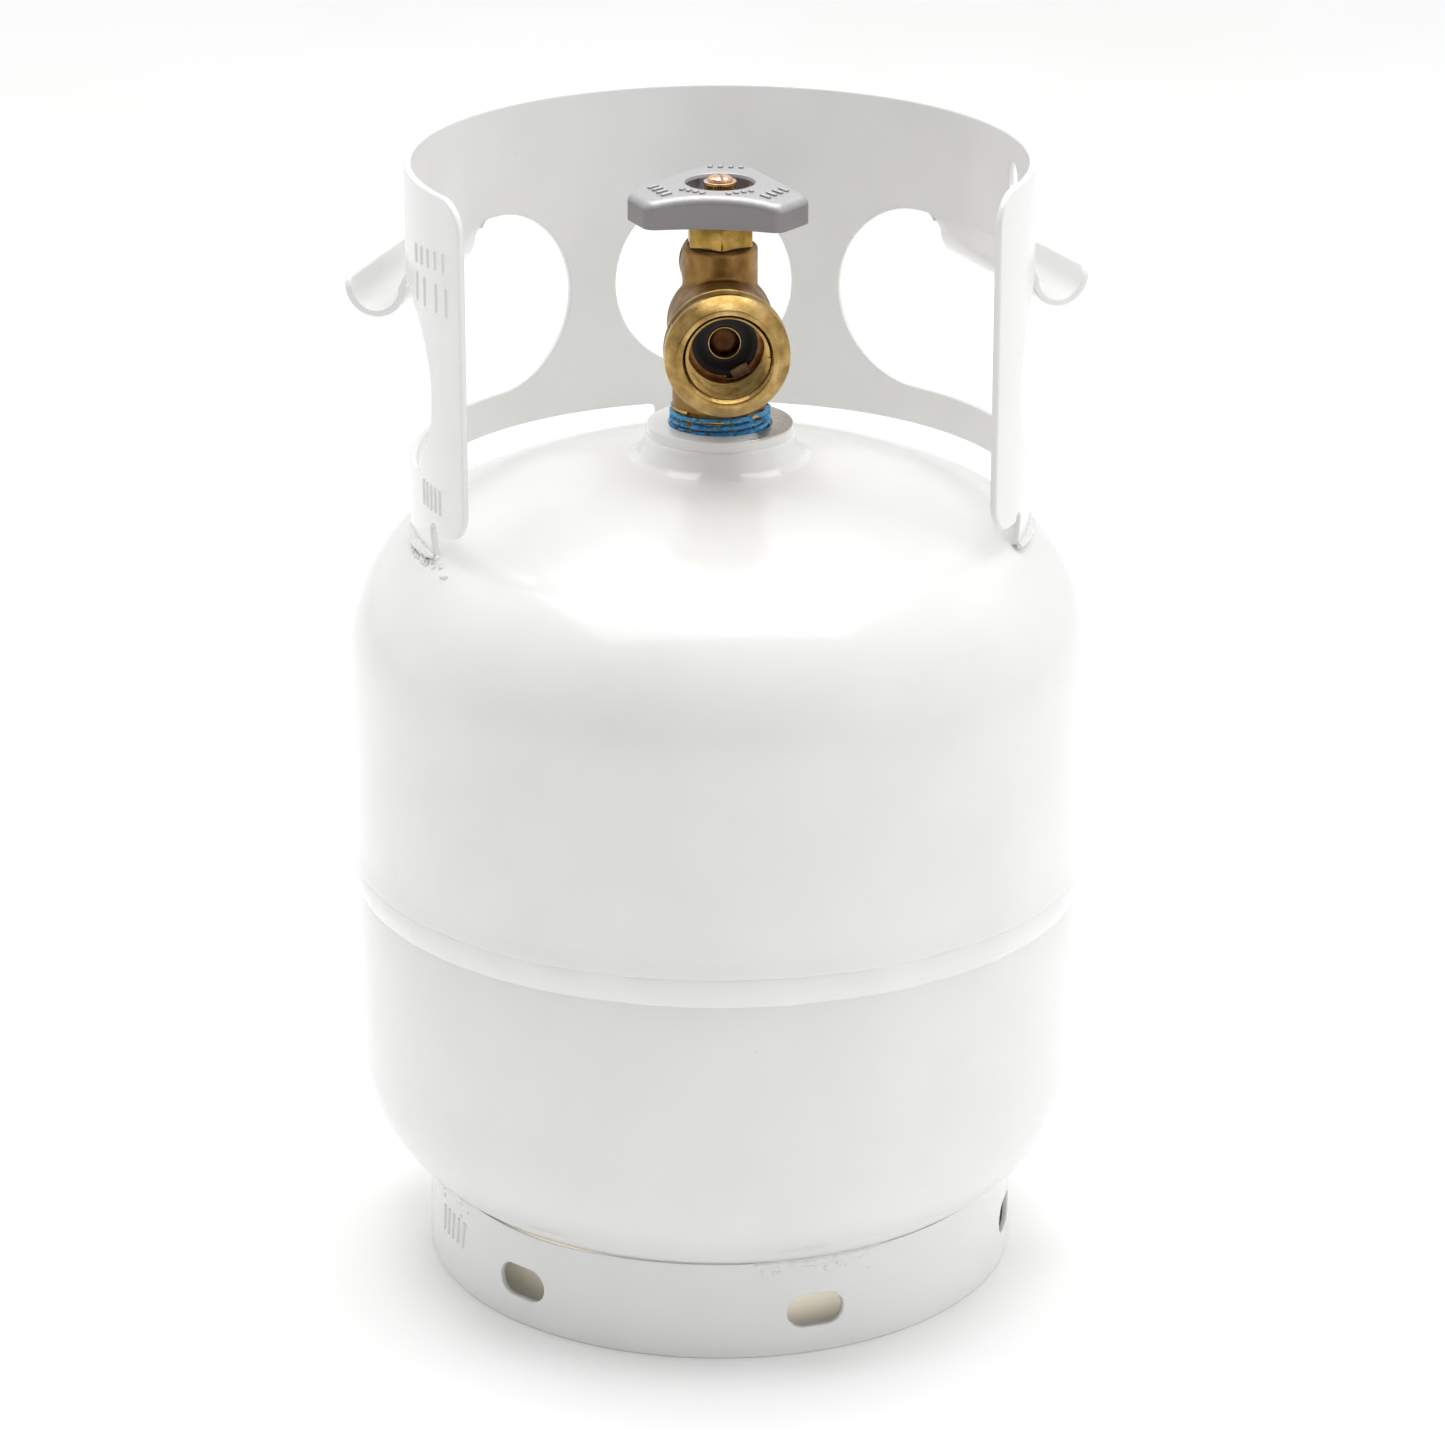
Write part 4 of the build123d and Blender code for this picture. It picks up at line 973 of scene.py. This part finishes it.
valve = {
    "thread": 13.35,
    "threadPitch": 1.81,
    "barrel": 12.9,
    "neck": 10.1,
    "outletBarrel": 14.3,
    "outletCrest": 16.67,
    "outletLip": 13.4,
    "outletPitch": 5.08,
    "outletBore": 11.15,
    "boreMinor": 10.3,
    "borePitch": 1.814,
    "sealBore": 9.95,
    "barrelTop": 259,
    "outletFloor": 16.8,
    "checkBore": 4.9,
    "checkFloor": 8.9,
    "nutBore": 8.0,
    "nutFloor": 281.0,
    "plugBore": 6.6,
    "seat": 261.4,
    "gasway": 3.2,
    "floatBore": 6.5,
    "floatDepth": 8.4,
    "reliefHousing": 9.6,
    "reliefBore": 5.9,
    "reliefFloor": 10.5,
    "bleedBoss": 4.6,
    "bleedBore": 2.9,
    "bleedFloor": 11.9,
    "voxel": 0.42,
}


def plug(radius, low, high, steps, soft=0.0):
    # a plain round stub about Z, its lower corner rounded where soft is given
    corner = (radius, low, soft) if soft else (radius, low)
    return turned([(0, low), corner, (radius, high), (0, high)], steps, closed=False)


def rodOf(radius, start, end, direction, origin, soft=0.6, steps=96):
    # a closed round bar with softened ends, from start to end along a direction
    bm = turned([(0, start), (radius, start, soft), (radius, end, soft), (0, end)], steps, closed=False)
    return facing(bm, direction, origin)


def forgedBody():
    # union of the forging's bars, bored out, remeshed and smoothed so that they flow into each other
    v = valve
    low, top = span("valve_body", 2)
    front, back = -span("valve_body", 1)[0], span("valve_body", 1)[1]
    reliefZ = sum(span("relief_cap", 2)) / 2
    bleedZ = sum(span("bleed_screw", 2)) / 2
    bleedEnd = span("bleed_screw", 0)[1] - 1.7
    threadTop = span("thread_sealant", 2)[1]
    root = v["thread"] - 0.9
    core = turned([(0, low), (root, low), (root, threadTop), (v["barrel"], threadTop, 0.6),
                   (v["barrel"], v["barrelTop"], 3.0), (v["neck"] + 0.9, 272, 3.0), (v["neck"], 277, 1.2),
                   (v["neck"], top - 0.7, 0.3), (v["neck"] - 0.9, top, 0.2), (0, top)], 128, closed=False)
    toFront, toBack, toRight, up = (0, -1, 0), (0, 1, 0), (1, 0, 0), (0, 0, 1)
    axis, relief, bleed, middle = (0, 0, outletZ), (0, 0, reliefZ), (0, 0, bleedZ), (0, 0, 0)
    bars = [
        rodOf(v["outletBarrel"], -2, front - 9.5, toFront, axis, 0.8),
        rodOf(v["reliefHousing"], 0, back, toBack, relief, 0.5),
        rodOf(v["bleedBoss"], 0, bleedEnd, toRight, bleed, 0.5),
    ]
    bores = [
        rodOf(v["outletBore"], v["outletFloor"], front, toFront, axis, 0),
        rodOf(v["checkBore"], v["checkFloor"], v["outletFloor"] + 1.2, toFront, axis, 0),
        rodOf(v["nutBore"], v["nutFloor"], top + 2, up, middle, 0),
        rodOf(v["plugBore"], v["seat"], v["nutFloor"] + 1, up, middle, 0),
        rodOf(v["gasway"], low - 1, v["seat"] + 0.6, up, middle, 0),
        rodOf(v["floatBore"], low - 1, low + v["floatDepth"], up, middle, 0),
        rodOf(v["reliefBore"], v["reliefFloor"], back + 1, toBack, relief, 0),
        rodOf(v["bleedBore"], v["bleedFloor"], bleedEnd + 1, toRight, bleed, 0),
    ]
    body = looseObject("forging", core)
    tools = shaped(body, "UNION", bars) + shaped(body, "DIFFERENCE", bores)
    remesh = body.modifiers.new("remesh", "REMESH")
    remesh.mode = "VOXEL"
    remesh.voxel_size = v["voxel"]
    soften = body.modifiers.new("soften", "SMOOTH")
    soften.factor = 0.5
    soften.iterations = 5
    bm = bakedMesh(body, tools)
    finishPiece("forgedValveBody", bm, [forged], ["valve_body"], sharp=180)


def outletRing():
    # machined nose, coarse external thread and fine left-hand internal thread, one piece with the forging
    v = valve
    front = -span("valve_body", 1)[0]
    root = v["outletCrest"] - 2.4
    crest = 0.37 * v["outletPitch"]
    chamfer = v["outletCrest"] - v["outletLip"]
    noseBack = -11.5
    nose = turned([(v["outletLip"], 0, 0.25), (v["outletCrest"], -chamfer, 0.3),
                   (v["outletCrest"], -chamfer - crest, 0.3), (root, -chamfer - crest - 0.7, 0.3),
                   (root, noseBack), (v["outletBore"] + 0.2, noseBack), (v["outletBore"], -1.2, 0.15),
                   (v["outletBore"] + 1.0, 0, 0.3)], 180)
    ridge = [(root - 1.2, -2.1), (root, -1.85, 0.2), (v["outletCrest"] - 0.05, -crest / 2, 0.25),
             (v["outletCrest"] - 0.05, crest / 2, 0.25), (root, 1.85, 0.2), (root - 1.2, 2.1)]
    turns = 1.22
    thread = coiled(ridge, -v["outletPitch"], turns, 96, start=150)
    for vert in thread.verts:
        # the thread runs out into the barrel at its end
        travelled = -vert.co.z / (v["outletPitch"] * turns)
        fade = 1 - smoothStep(0.86, 1.0, travelled)
        reach = vert.co.xy.length
        if reach > root - 0.2:
            vert.co.xy *= (root - 0.2 + (reach - root + 0.2) * fade) / reach
    moved(thread, (0, 0, -chamfer - crest - 0.6))
    tooth = [(v["outletBore"] + 0.3, -0.72), (v["boreMinor"], -0.1), (v["boreMinor"], 0.1),
             (v["outletBore"] + 0.3, 0.72)]
    inner = moved(coiled(tooth, v["borePitch"], 7.0, 72), (0, 0, -14.4))
    # a sleeve carries the fine thread further in than the nose does
    sleeve = turned([(v["outletBore"], -2), (v["outletBore"] + 0.5, -2), (v["outletBore"] + 0.5, -15.3),
                     (v["outletBore"] - 0.2, -15.3)], 144)
    step = turned([(v["sealBore"], -16.4, 0.15), (v["outletBore"] + 0.4, -16.4),
                   (v["outletBore"] + 0.4, -19.5), (v["sealBore"], -19.5)], 144)
    bm = joined(nose, thread, inner, sleeve, step)
    facing(bm, (0, -1, 0), (0, -front, outletZ))
    finishPiece("outletThreads", bm, [outletBrass], ["valve_body"], sharp=32)


def shankThread():
    # taper thread between the boss and the forging, with the sealant on its crests
    v = valve
    low, top = span("thread_sealant", 2)
    start = low - 1.6
    pitch = v["threadPitch"]
    turns = (top - start) / pitch
    tooth = [(v["thread"] - 1.5, -0.85), (v["thread"] - 1.1, -0.8), (v["thread"] - 0.02, -0.18, 0.08),
             (v["thread"] - 0.02, 0.18, 0.08), (v["thread"] - 1.1, 0.8), (v["thread"] - 1.5, 0.85)]
    bm = moved(coiled(tooth, pitch, turns, 96), (0, 0, start))
    joined(bm, plug(v["thread"] - 1.0, start - 2, top + 0.3, 96))
    finishPiece("shankThread", bm, [stemBrass], ["valve_body"], sharp=35)
    # the sealant clings to the crests in a ragged ribbon
    ribbon = [(v["thread"] - 0.5, -0.75), (v["thread"] + 0.3, -0.42, 0.1), (v["thread"] + 0.36, 0.3, 0.1),
              (v["thread"] - 0.4, 0.72)]
    film = coiled(ribbon, pitch, turns - 0.35, 180)
    for vert in film.verts:
        reach = vert.co.xy.length
        angle = math.atan2(vert.co.y, vert.co.x)
        flake = noise.noise(Vector((math.cos(angle) * 5, math.sin(angle) * 5, vert.co.z * 0.8)))
        fine = noise.noise(Vector((math.cos(angle) * 24, math.sin(angle) * 24, vert.co.z * 2)))
        thin = smoothStep(0.08, 0.3, flake + fine * 0.35)
        vert.co.xy *= 1 - (thin * 0.75 + 0.08 * fine) / reach
        vert.co.z += 0.16 * fine
    moved(film, (0, 0, start + 0.2))
    finishPiece("sealantFlakes", film, [sealantBlue], ["thread_sealant"], sharp=60)


def bonnetNut():
    # hexagon gland nut, chamfered on top, with a dark ring of painted shade where it meets the neck
    low, top = span("bonnet_nut", 2)
    neckTop = span("valve_body", 2)[1]
    flats = 16.8
    bm = bmesh.new()
    corner = flats / math.sqrt(3)
    bmesh.ops.create_cone(bm, cap_ends=True, segments=6, radius1=corner, radius2=corner,
                          depth=top - neckTop - 0.1)
    moved(bm, (0, 0, (top + neckTop) / 2 + 0.05))
    sides = [e for e in bm.edges if abs(e.verts[0].co.z - e.verts[1].co.z) > 1]
    softened(bm, sides, 0.45)
    rims = [e for e in bm.edges if abs(e.verts[0].co.z - e.verts[1].co.z) < 0.01 and len(e.link_faces) == 2]
    softened(bm, rims, 0.4, 2)
    shank = turned([(4.2, low), (7.5, low), (7.5, neckTop + 0.3), (4.2, neckTop + 0.3)], 96)
    joined(bm, shank)
    # a dark ring in the gap round the nut stands for the shade there: painted shade
    gap = turned([(6.0, neckTop - 0.3), (8.75, neckTop - 0.3), (8.75, neckTop + 0.22, 0.15),
                  (6.0, neckTop + 0.3)], 96)
    for face in gap.faces:
        face.material_index = 1
    joined(bm, gap)
    finishPiece("bonnetHexagon", bm, [stemBrass, gapShade], ["bonnet_nut"], sharp=28)


forgedBody()
outletRing()
shankThread()
bonnetNut()
print("valve body made")

# ---- handwheel

wheel = {
    "reach": 24.6,
    "lobeWidth": 15.0,
    "waist": 15.9,
    "corner": 3.5,
    "edge": 2.2,
    "skirt": 2.4,
    "web": 3.4,
    "turn": -8.5,
    "recess": 9.5,
    "recessDepth": 1.0,
    "hub": 7.2,
    "spline": 4.15,
    "dome": 0.0085,
}


def roundedCorner(corner, first, second, radius, steps=8):
    # points of the arc that rounds a corner between two directions that leave it
    half = first.angle(second) / 2
    centre = corner + (first + second).normalized() * radius / math.sin(half)
    begin = corner + first * radius / math.tan(half) - centre
    end = corner + second * radius / math.tan(half) - centre
    return [centre + begin.slerp(end, i / steps) * radius for i in range(steps + 1)]


def wheelOutline():
    # three blunt lobes with hollow sides, their corners rounded
    w = wheel
    half = w["lobeWidth"] / 2
    distance = math.hypot(half, w["reach"])
    angle = math.radians(60) - math.atan2(half, w["reach"])
    x, y = distance * math.cos(angle), distance * math.sin(angle)
    # the hollow side's circle passes through both corners and the waist
    centre = (x**2 + y**2 - w["waist"] ** 2) / (2 * (x - w["waist"]))
    hollow = centre - w["waist"]
    sweep = math.degrees(math.asin(y / hollow))
    trim = math.degrees(w["corner"] / hollow)
    outline = []
    for lobe in range(3):
        turn = Matrix.Rotation(math.radians(90 + lobe * 120), 2)
        before = Matrix.Rotation(math.radians(30 + lobe * 120), 2)
        after = Matrix.Rotation(math.radians(150 + lobe * 120), 2)
        inward = Vector((x - centre, y)).orthogonal() / hollow
        if inward.y > 0:
            inward = -inward
        outline += roundedCorner(turn @ Vector((w["reach"], -half)), before @ inward, turn @ Vector((0, 1)),
                                 w["corner"])
        outline += roundedCorner(turn @ Vector((w["reach"], half)), turn @ Vector((0, -1)),
                                 after @ Vector((inward.x, -inward.y)), w["corner"])
        side = arc((centre, 0), hollow, 180 + sweep - trim, 180 - sweep + trim, 24)
        outline += [after @ Vector(point) for point in side[1:-1]]
    return outline


def handwheelCasting():
    w = wheel
    low, top = span("handwheel", 2)
    bm = bmesh.new()
    ringVerts = [bm.verts.new((p.x, p.y, top)) for p in wheelOutline()]
    rim = [bm.edges.new(pair) for pair in zip(ringVerts, ringVerts[1:] + ringVerts[:1])]
    # the recess's rim has one point for each point of the outline
    copied = bmesh.ops.duplicate(bm, geom=ringVerts + rim)
    inner = [g for g in copied["geom"] if isinstance(g, bmesh.types.BMVert)]
    innerEdges = [g for g in copied["geom"] if isinstance(g, bmesh.types.BMEdge)]
    for vert in inner:
        vert.co.xy = vert.co.xy.normalized() * w["recess"]
    bmesh.ops.bridge_loops(bm, edges=rim + innerEdges)

    def pushed(edges, height, reshape):
        # extrude a loop of edges and move the new loop
        made = bmesh.ops.extrude_edge_only(bm, edges=edges)["geom"]
        for g in made:
            if isinstance(g, bmesh.types.BMVert):
                g.co = reshape(g.co)
                g.co.z = height
        return [g for g in made if isinstance(g, bmesh.types.BMEdge)
                and abs(g.verts[0].co.z - height) < 1e-6 and abs(g.verts[1].co.z - height) < 1e-6]

    def keep(co):
        return co.copy()

    def scaled(factor):
        return lambda co: Vector((co.x * factor, co.y * factor, co.z))

    def ring(radius):
        return lambda co: Vector((*(co.xy.normalized() * radius), co.z))

    def skirtIn(co):
        return Vector((*(co.xy - co.xy.normalized() * w["skirt"]), co.z))

    # outside wall with a little draft, the parting line, the skirt's underside and the cored hollow
    wall = pushed(rim, low + 1.1, scaled(1.0))
    wall = pushed(wall, low, scaled(0.985))
    wall = pushed(wall, low - 0.0001, skirtIn)
    wall = pushed(wall, top - w["web"], keep)
    hub = pushed(wall, top - w["web"] - 0.0001, ring(w["hub"]))
    hub = pushed(hub, low + 0.1, keep)
    hub = pushed(hub, low + 0.0999, ring(w["spline"]))
    # recess in the top, down to the bore
    floor_ = pushed(innerEdges, top - w["recessDepth"], ring(w["recess"] - 0.4))
    bore = pushed(floor_, top - w["recessDepth"] - 0.0001, ring(w["spline"]))
    bmesh.ops.bridge_loops(bm, edges=bore + hub)
    bmesh.ops.recalc_face_normals(bm, faces=bm.faces)
    topEdges = [e for e in bm.edges if e.calc_face_angle(0) > 1
                and all(abs(v.co.z - top) < 1e-5 and v.co.xy.length > w["recess"] + 1 for v in e.verts)]
    softened(bm, topEdges, w["edge"], 7, clamp=True)
    recessEdges = [e for e in bm.edges if all(
        abs(v.co.z - top) < 1e-5 and abs(v.co.xy.length - w["recess"]) < 0.01 for v in e.verts)]
    softened(bm, recessEdges, 0.35)
    across = [e for e in bm.edges if all(abs(v.co.z - top) < 1e-5 for v in e.verts)
              and abs(e.verts[0].co.xy.length - e.verts[1].co.xy.length) > 2]
    bmesh.ops.subdivide_edges(bm, edges=across, cuts=5, use_grid_fill=True)
    # plain raised bars in short rows on the lobes and beside the recess
    ribs = []
    rows = [(lobe, 17.6, across_, 3.2) for lobe in (90, 210, 330) for across_ in (-4.2, -1.4, 1.4, 4.2)]
    rows += [(lobe, 12.6, across_, 1.7) for lobe in (240, 300) for across_ in (-3.4, -1.2, 1.0, 3.2)]
    for lobe, out, across_, length in rows:
        ribs.append(turnedBy(moved(slab((length, 1.3, 1.4), 0.38), (out, across_, top - 0.15)), lobe))
    joined(bm, *ribs)
    # the top is domed: it falls away towards the lobes
    for vert in bm.verts:
        outward = max(0.0, vert.co.xy.length - w["recess"])
        vert.co.z -= w["dome"] * outward**2 * smoothStep(low + 1.5, top - 1, vert.co.z)
    turnedBy(bm, w["turn"])
    piece = finishPiece("handwheelCasting", bm, [alloy], ["handwheel"], "handwheel", 40)
    evenNormals(piece)


def stemTop():
    # serrated end of the stem in the recess, the washer and the slotted screw over it
    stemLow = span("handwheel", 2)[0]
    stemHigh = span("valve_stem", 2)[1]
    bm = bmesh.new()
    teeth = 28
    made = bmesh.ops.create_circle(bm, cap_ends=True, segments=teeth * 2, radius=4.1)["verts"]
    for index, vert in enumerate(made):
        vert.co.xy = vert.co.xy.normalized() * (4.12 if index % 2 else 3.72)
    side = bmesh.ops.extrude_face_region(bm, geom=bm.faces[:])["geom"]
    raised = [g for g in side if isinstance(g, bmesh.types.BMVert)]
    bmesh.ops.translate(bm, vec=(0, 0, stemHigh - stemLow), verts=raised)
    moved(bm, (0, 0, stemLow))
    bmesh.ops.recalc_face_normals(bm, faces=bm.faces)
    lower = plug(4.05, stemLow - 12.8, stemLow, 64)
    flange = turned([(0, 279.85), (5.55, 279.85, 0.2), (5.55, 281.4, 0.2), (0, 281.4)], 64, closed=False)
    tangLow, tangHigh = span("valve_stem", 2)[0], valve["nutFloor"]
    tang = moved(slab((7.0, 2.4, tangHigh - tangLow), 0.2, 2), (0, 0, (tangHigh + tangLow) / 2))
    joined(bm, lower, flange, tang)
    finishPiece("stemWithSpline", bm, [stemBrass], ["valve_stem"], "handwheel", 30)

    low, high = span("handwheel_washer", 2)
    washer = turned([(1.6, low), (4.4, low, 0.15), (4.4, high, 0.2), (1.6, high)], 96)
    finishPiece("starWasher", washer, [zinc], ["handwheel_washer"], "handwheel", 40)

    low, high = span("handwheel_screw", 2)
    headLow = span("handwheel_washer", 2)[1]
    head = turned([(0, headLow), (3.4, headLow, 0.15), (3.25, headLow + 0.8, 0.3),
                   (2.3, high - 0.15, 0.4), (0, high)], 64, closed=False)
    bm = slotted(head, moved(turnedBy(slab((9, 0.95, 1.6)), 98), (0, 0, high)))
    joined(bm, plug(1.4, low, headLow + 0.1, 48, 0.3))
    finishPiece("slottedScrew", bm, [zinc], ["handwheel_screw"], "handwheel", 30)


handwheelCasting()
stemTop()
print("handwheel made")

# ---- inside the outlet, the relief cap and the bleed screw


def outletParts():
    def toFront(profile, steps=128):
        # a ring whose heights are distances from the tank's axis towards the front
        return facing(turned(profile, steps), (0, -1, 0), (0, 0, outletZ))

    low, high = [-y for y in span("outlet_seal", 1)][::-1]
    seal = toFront([(4.52, low), (9.85, low), (9.85, high, 0.5), (7.6, high - 0.35, 0.5), (5.2, high, 0.3),
                    (4.52, high)])
    finishPiece("outletFaceSeal", seal, [rubber], ["outlet_seal"], sharp=50)

    low, high = [-y for y in span("check_tube", 1)][::-1]
    thin = toFront([(4.05, low), (4.45, low), (4.45, high, 0.12), (4.05, high, 0.12)])
    finishPiece("checkTubeWall", thin, [outletBrass], ["check_tube"])

    low, high = [-y for y in span("check_poppet", 1)][::-1]
    face = turned([(0, low), (3.98, low, 0.2), (3.98, high - 0.5, 0.3), (2.8, high, 0.3), (0, high - 0.35)],
                  96, closed=False)
    poppet = facing(face, (0, -1, 0), (0, 0, outletZ))
    # the poppet's face is coloured dark as painted shade
    finishPiece("checkPoppetFace", poppet, [shadeDarkenedBrass], ["check_poppet"], "outlet_check")

    low, high = [-y for y in span("outlet_retaining_ring", 1)][::-1]
    # flat split ring: the gap is at the lower right, and one end stands square
    ring = section([(8.7, low, 0.12), (10.75, low, 0.12), (10.75, high, 0.12), (8.7, high, 0.12)])
    face = bmesh.ops.contextual_create(ring, geom=ring.edges[:])["faces"]
    bmesh.ops.spin(ring, geom=face, cent=(0, 0, 0), axis=(0, 0, 1), angle=math.radians(326), steps=120)
    bmesh.ops.recalc_face_normals(ring, faces=ring.faces)
    facing(turnedBy(ring, -53), (0, -1, 0), (0, 0, outletZ))
    tab = turnedBy(moved(slab((2.9, 0.9, 5.0), 0.15, 2), (8.6, 0, 0)), 61, "Y")
    moved(tab, (0, -high - 0.1, outletZ))
    # the bent end takes the lighter copper finish: painted light
    for face in tab.faces:
        face.material_index = 1
    joined(ring, tab)
    finishPiece("splitRetainingRing", ring, [copperBrass, paintedLightCopper],
                ["outlet_retaining_ring"])


def reliefCap():
    low, high = span("relief_cap", 1)
    z = sum(span("relief_cap", 2)) / 2
    radius = valve["reliefHousing"] + 0.1
    cap = turned([(0, low), (radius, low, 0.2), (radius, high - 0.5, 0.7), (radius - 1.2, high, 0.4),
                  (radius - 3.2, high, 0.3), (radius - 3.8, high - 0.6, 0.3), (0, high - 0.6)],
                 128, closed=False)
    facing(cap, (0, 1, 0), (0, 0, z))
    finishPiece("reliefDustCap", cap, [greenPlastic], ["relief_cap"], sharp=40)


def bleedScrew():
    low, high = span("bleed_screw", 0)
    z = sum(span("bleed_screw", 2)) / 2
    radius = span("bleed_screw", 1)[1]
    head = facing(turned([(0, high - 1.6), (radius, high - 1.6, 0.15), (radius, high, 0.35), (0, high)], 64,
                         closed=False), (1, 0, 0), (0, 0, z))
    bm = slotted(head, moved(slab((1.6, 9, 0.8)), (high, 0, z)))
    joined(bm, facing(plug(2.35, low, high - 1.5, 48, 0.3), (1, 0, 0), (0, 0, z)))
    finishPiece("bleedScrewSlotted", bm, [stemBrass], ["bleed_screw"], "bleed_screw", 30)


def coilSpring(name, node, wire, turns):
    # a wound spring that its poppet shortens from the front end
    low, high = span(node, 1)
    z = sum(span(node, 2)) / 2
    radius = span(node, 0)[1] - wire / 2
    pitch = (high - low - wire) / turns
    bm = moved(coiled(arc((radius, 0), wire / 2, 0, 330, 11), pitch, turns, 40), (0, 0, low + wire / 2))
    piece = finishPiece(name, facing(bm, (0, 1, 0), (0, 0, z)), [springSteel], [node])
    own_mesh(piece)


outletParts()
coilSpring("checkSpringCoil", "check_spring", 0.6, 5.0)
coilSpring("reliefSpringCoil", "relief_spring", 1.0, 5.0)
reliefCap()
bleedScrew()
print("small parts made")

# ---- inner pieces keep their CAD shape and get their finish

innerFinish = {
    "stem_seals": rubber,
    "valve_plug": stemBrass,
    "seat_disc": rubber,
    "relief_poppet": stemBrass,
    "relief_seal": rubber,
    "relief_retainer": stemBrass,
    "dip_tube": stemBrass,
    "float_housing": stemBrass,
    "shutter": acetal,
    "float_pin": springSteel,
    "float_arm": acetal,
    "float_body": acetal,
}
for node, material in innerFinish.items():
    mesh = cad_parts[node].data
    mesh.materials.clear()
    mesh.materials.append(material)
print("inner pieces finished")
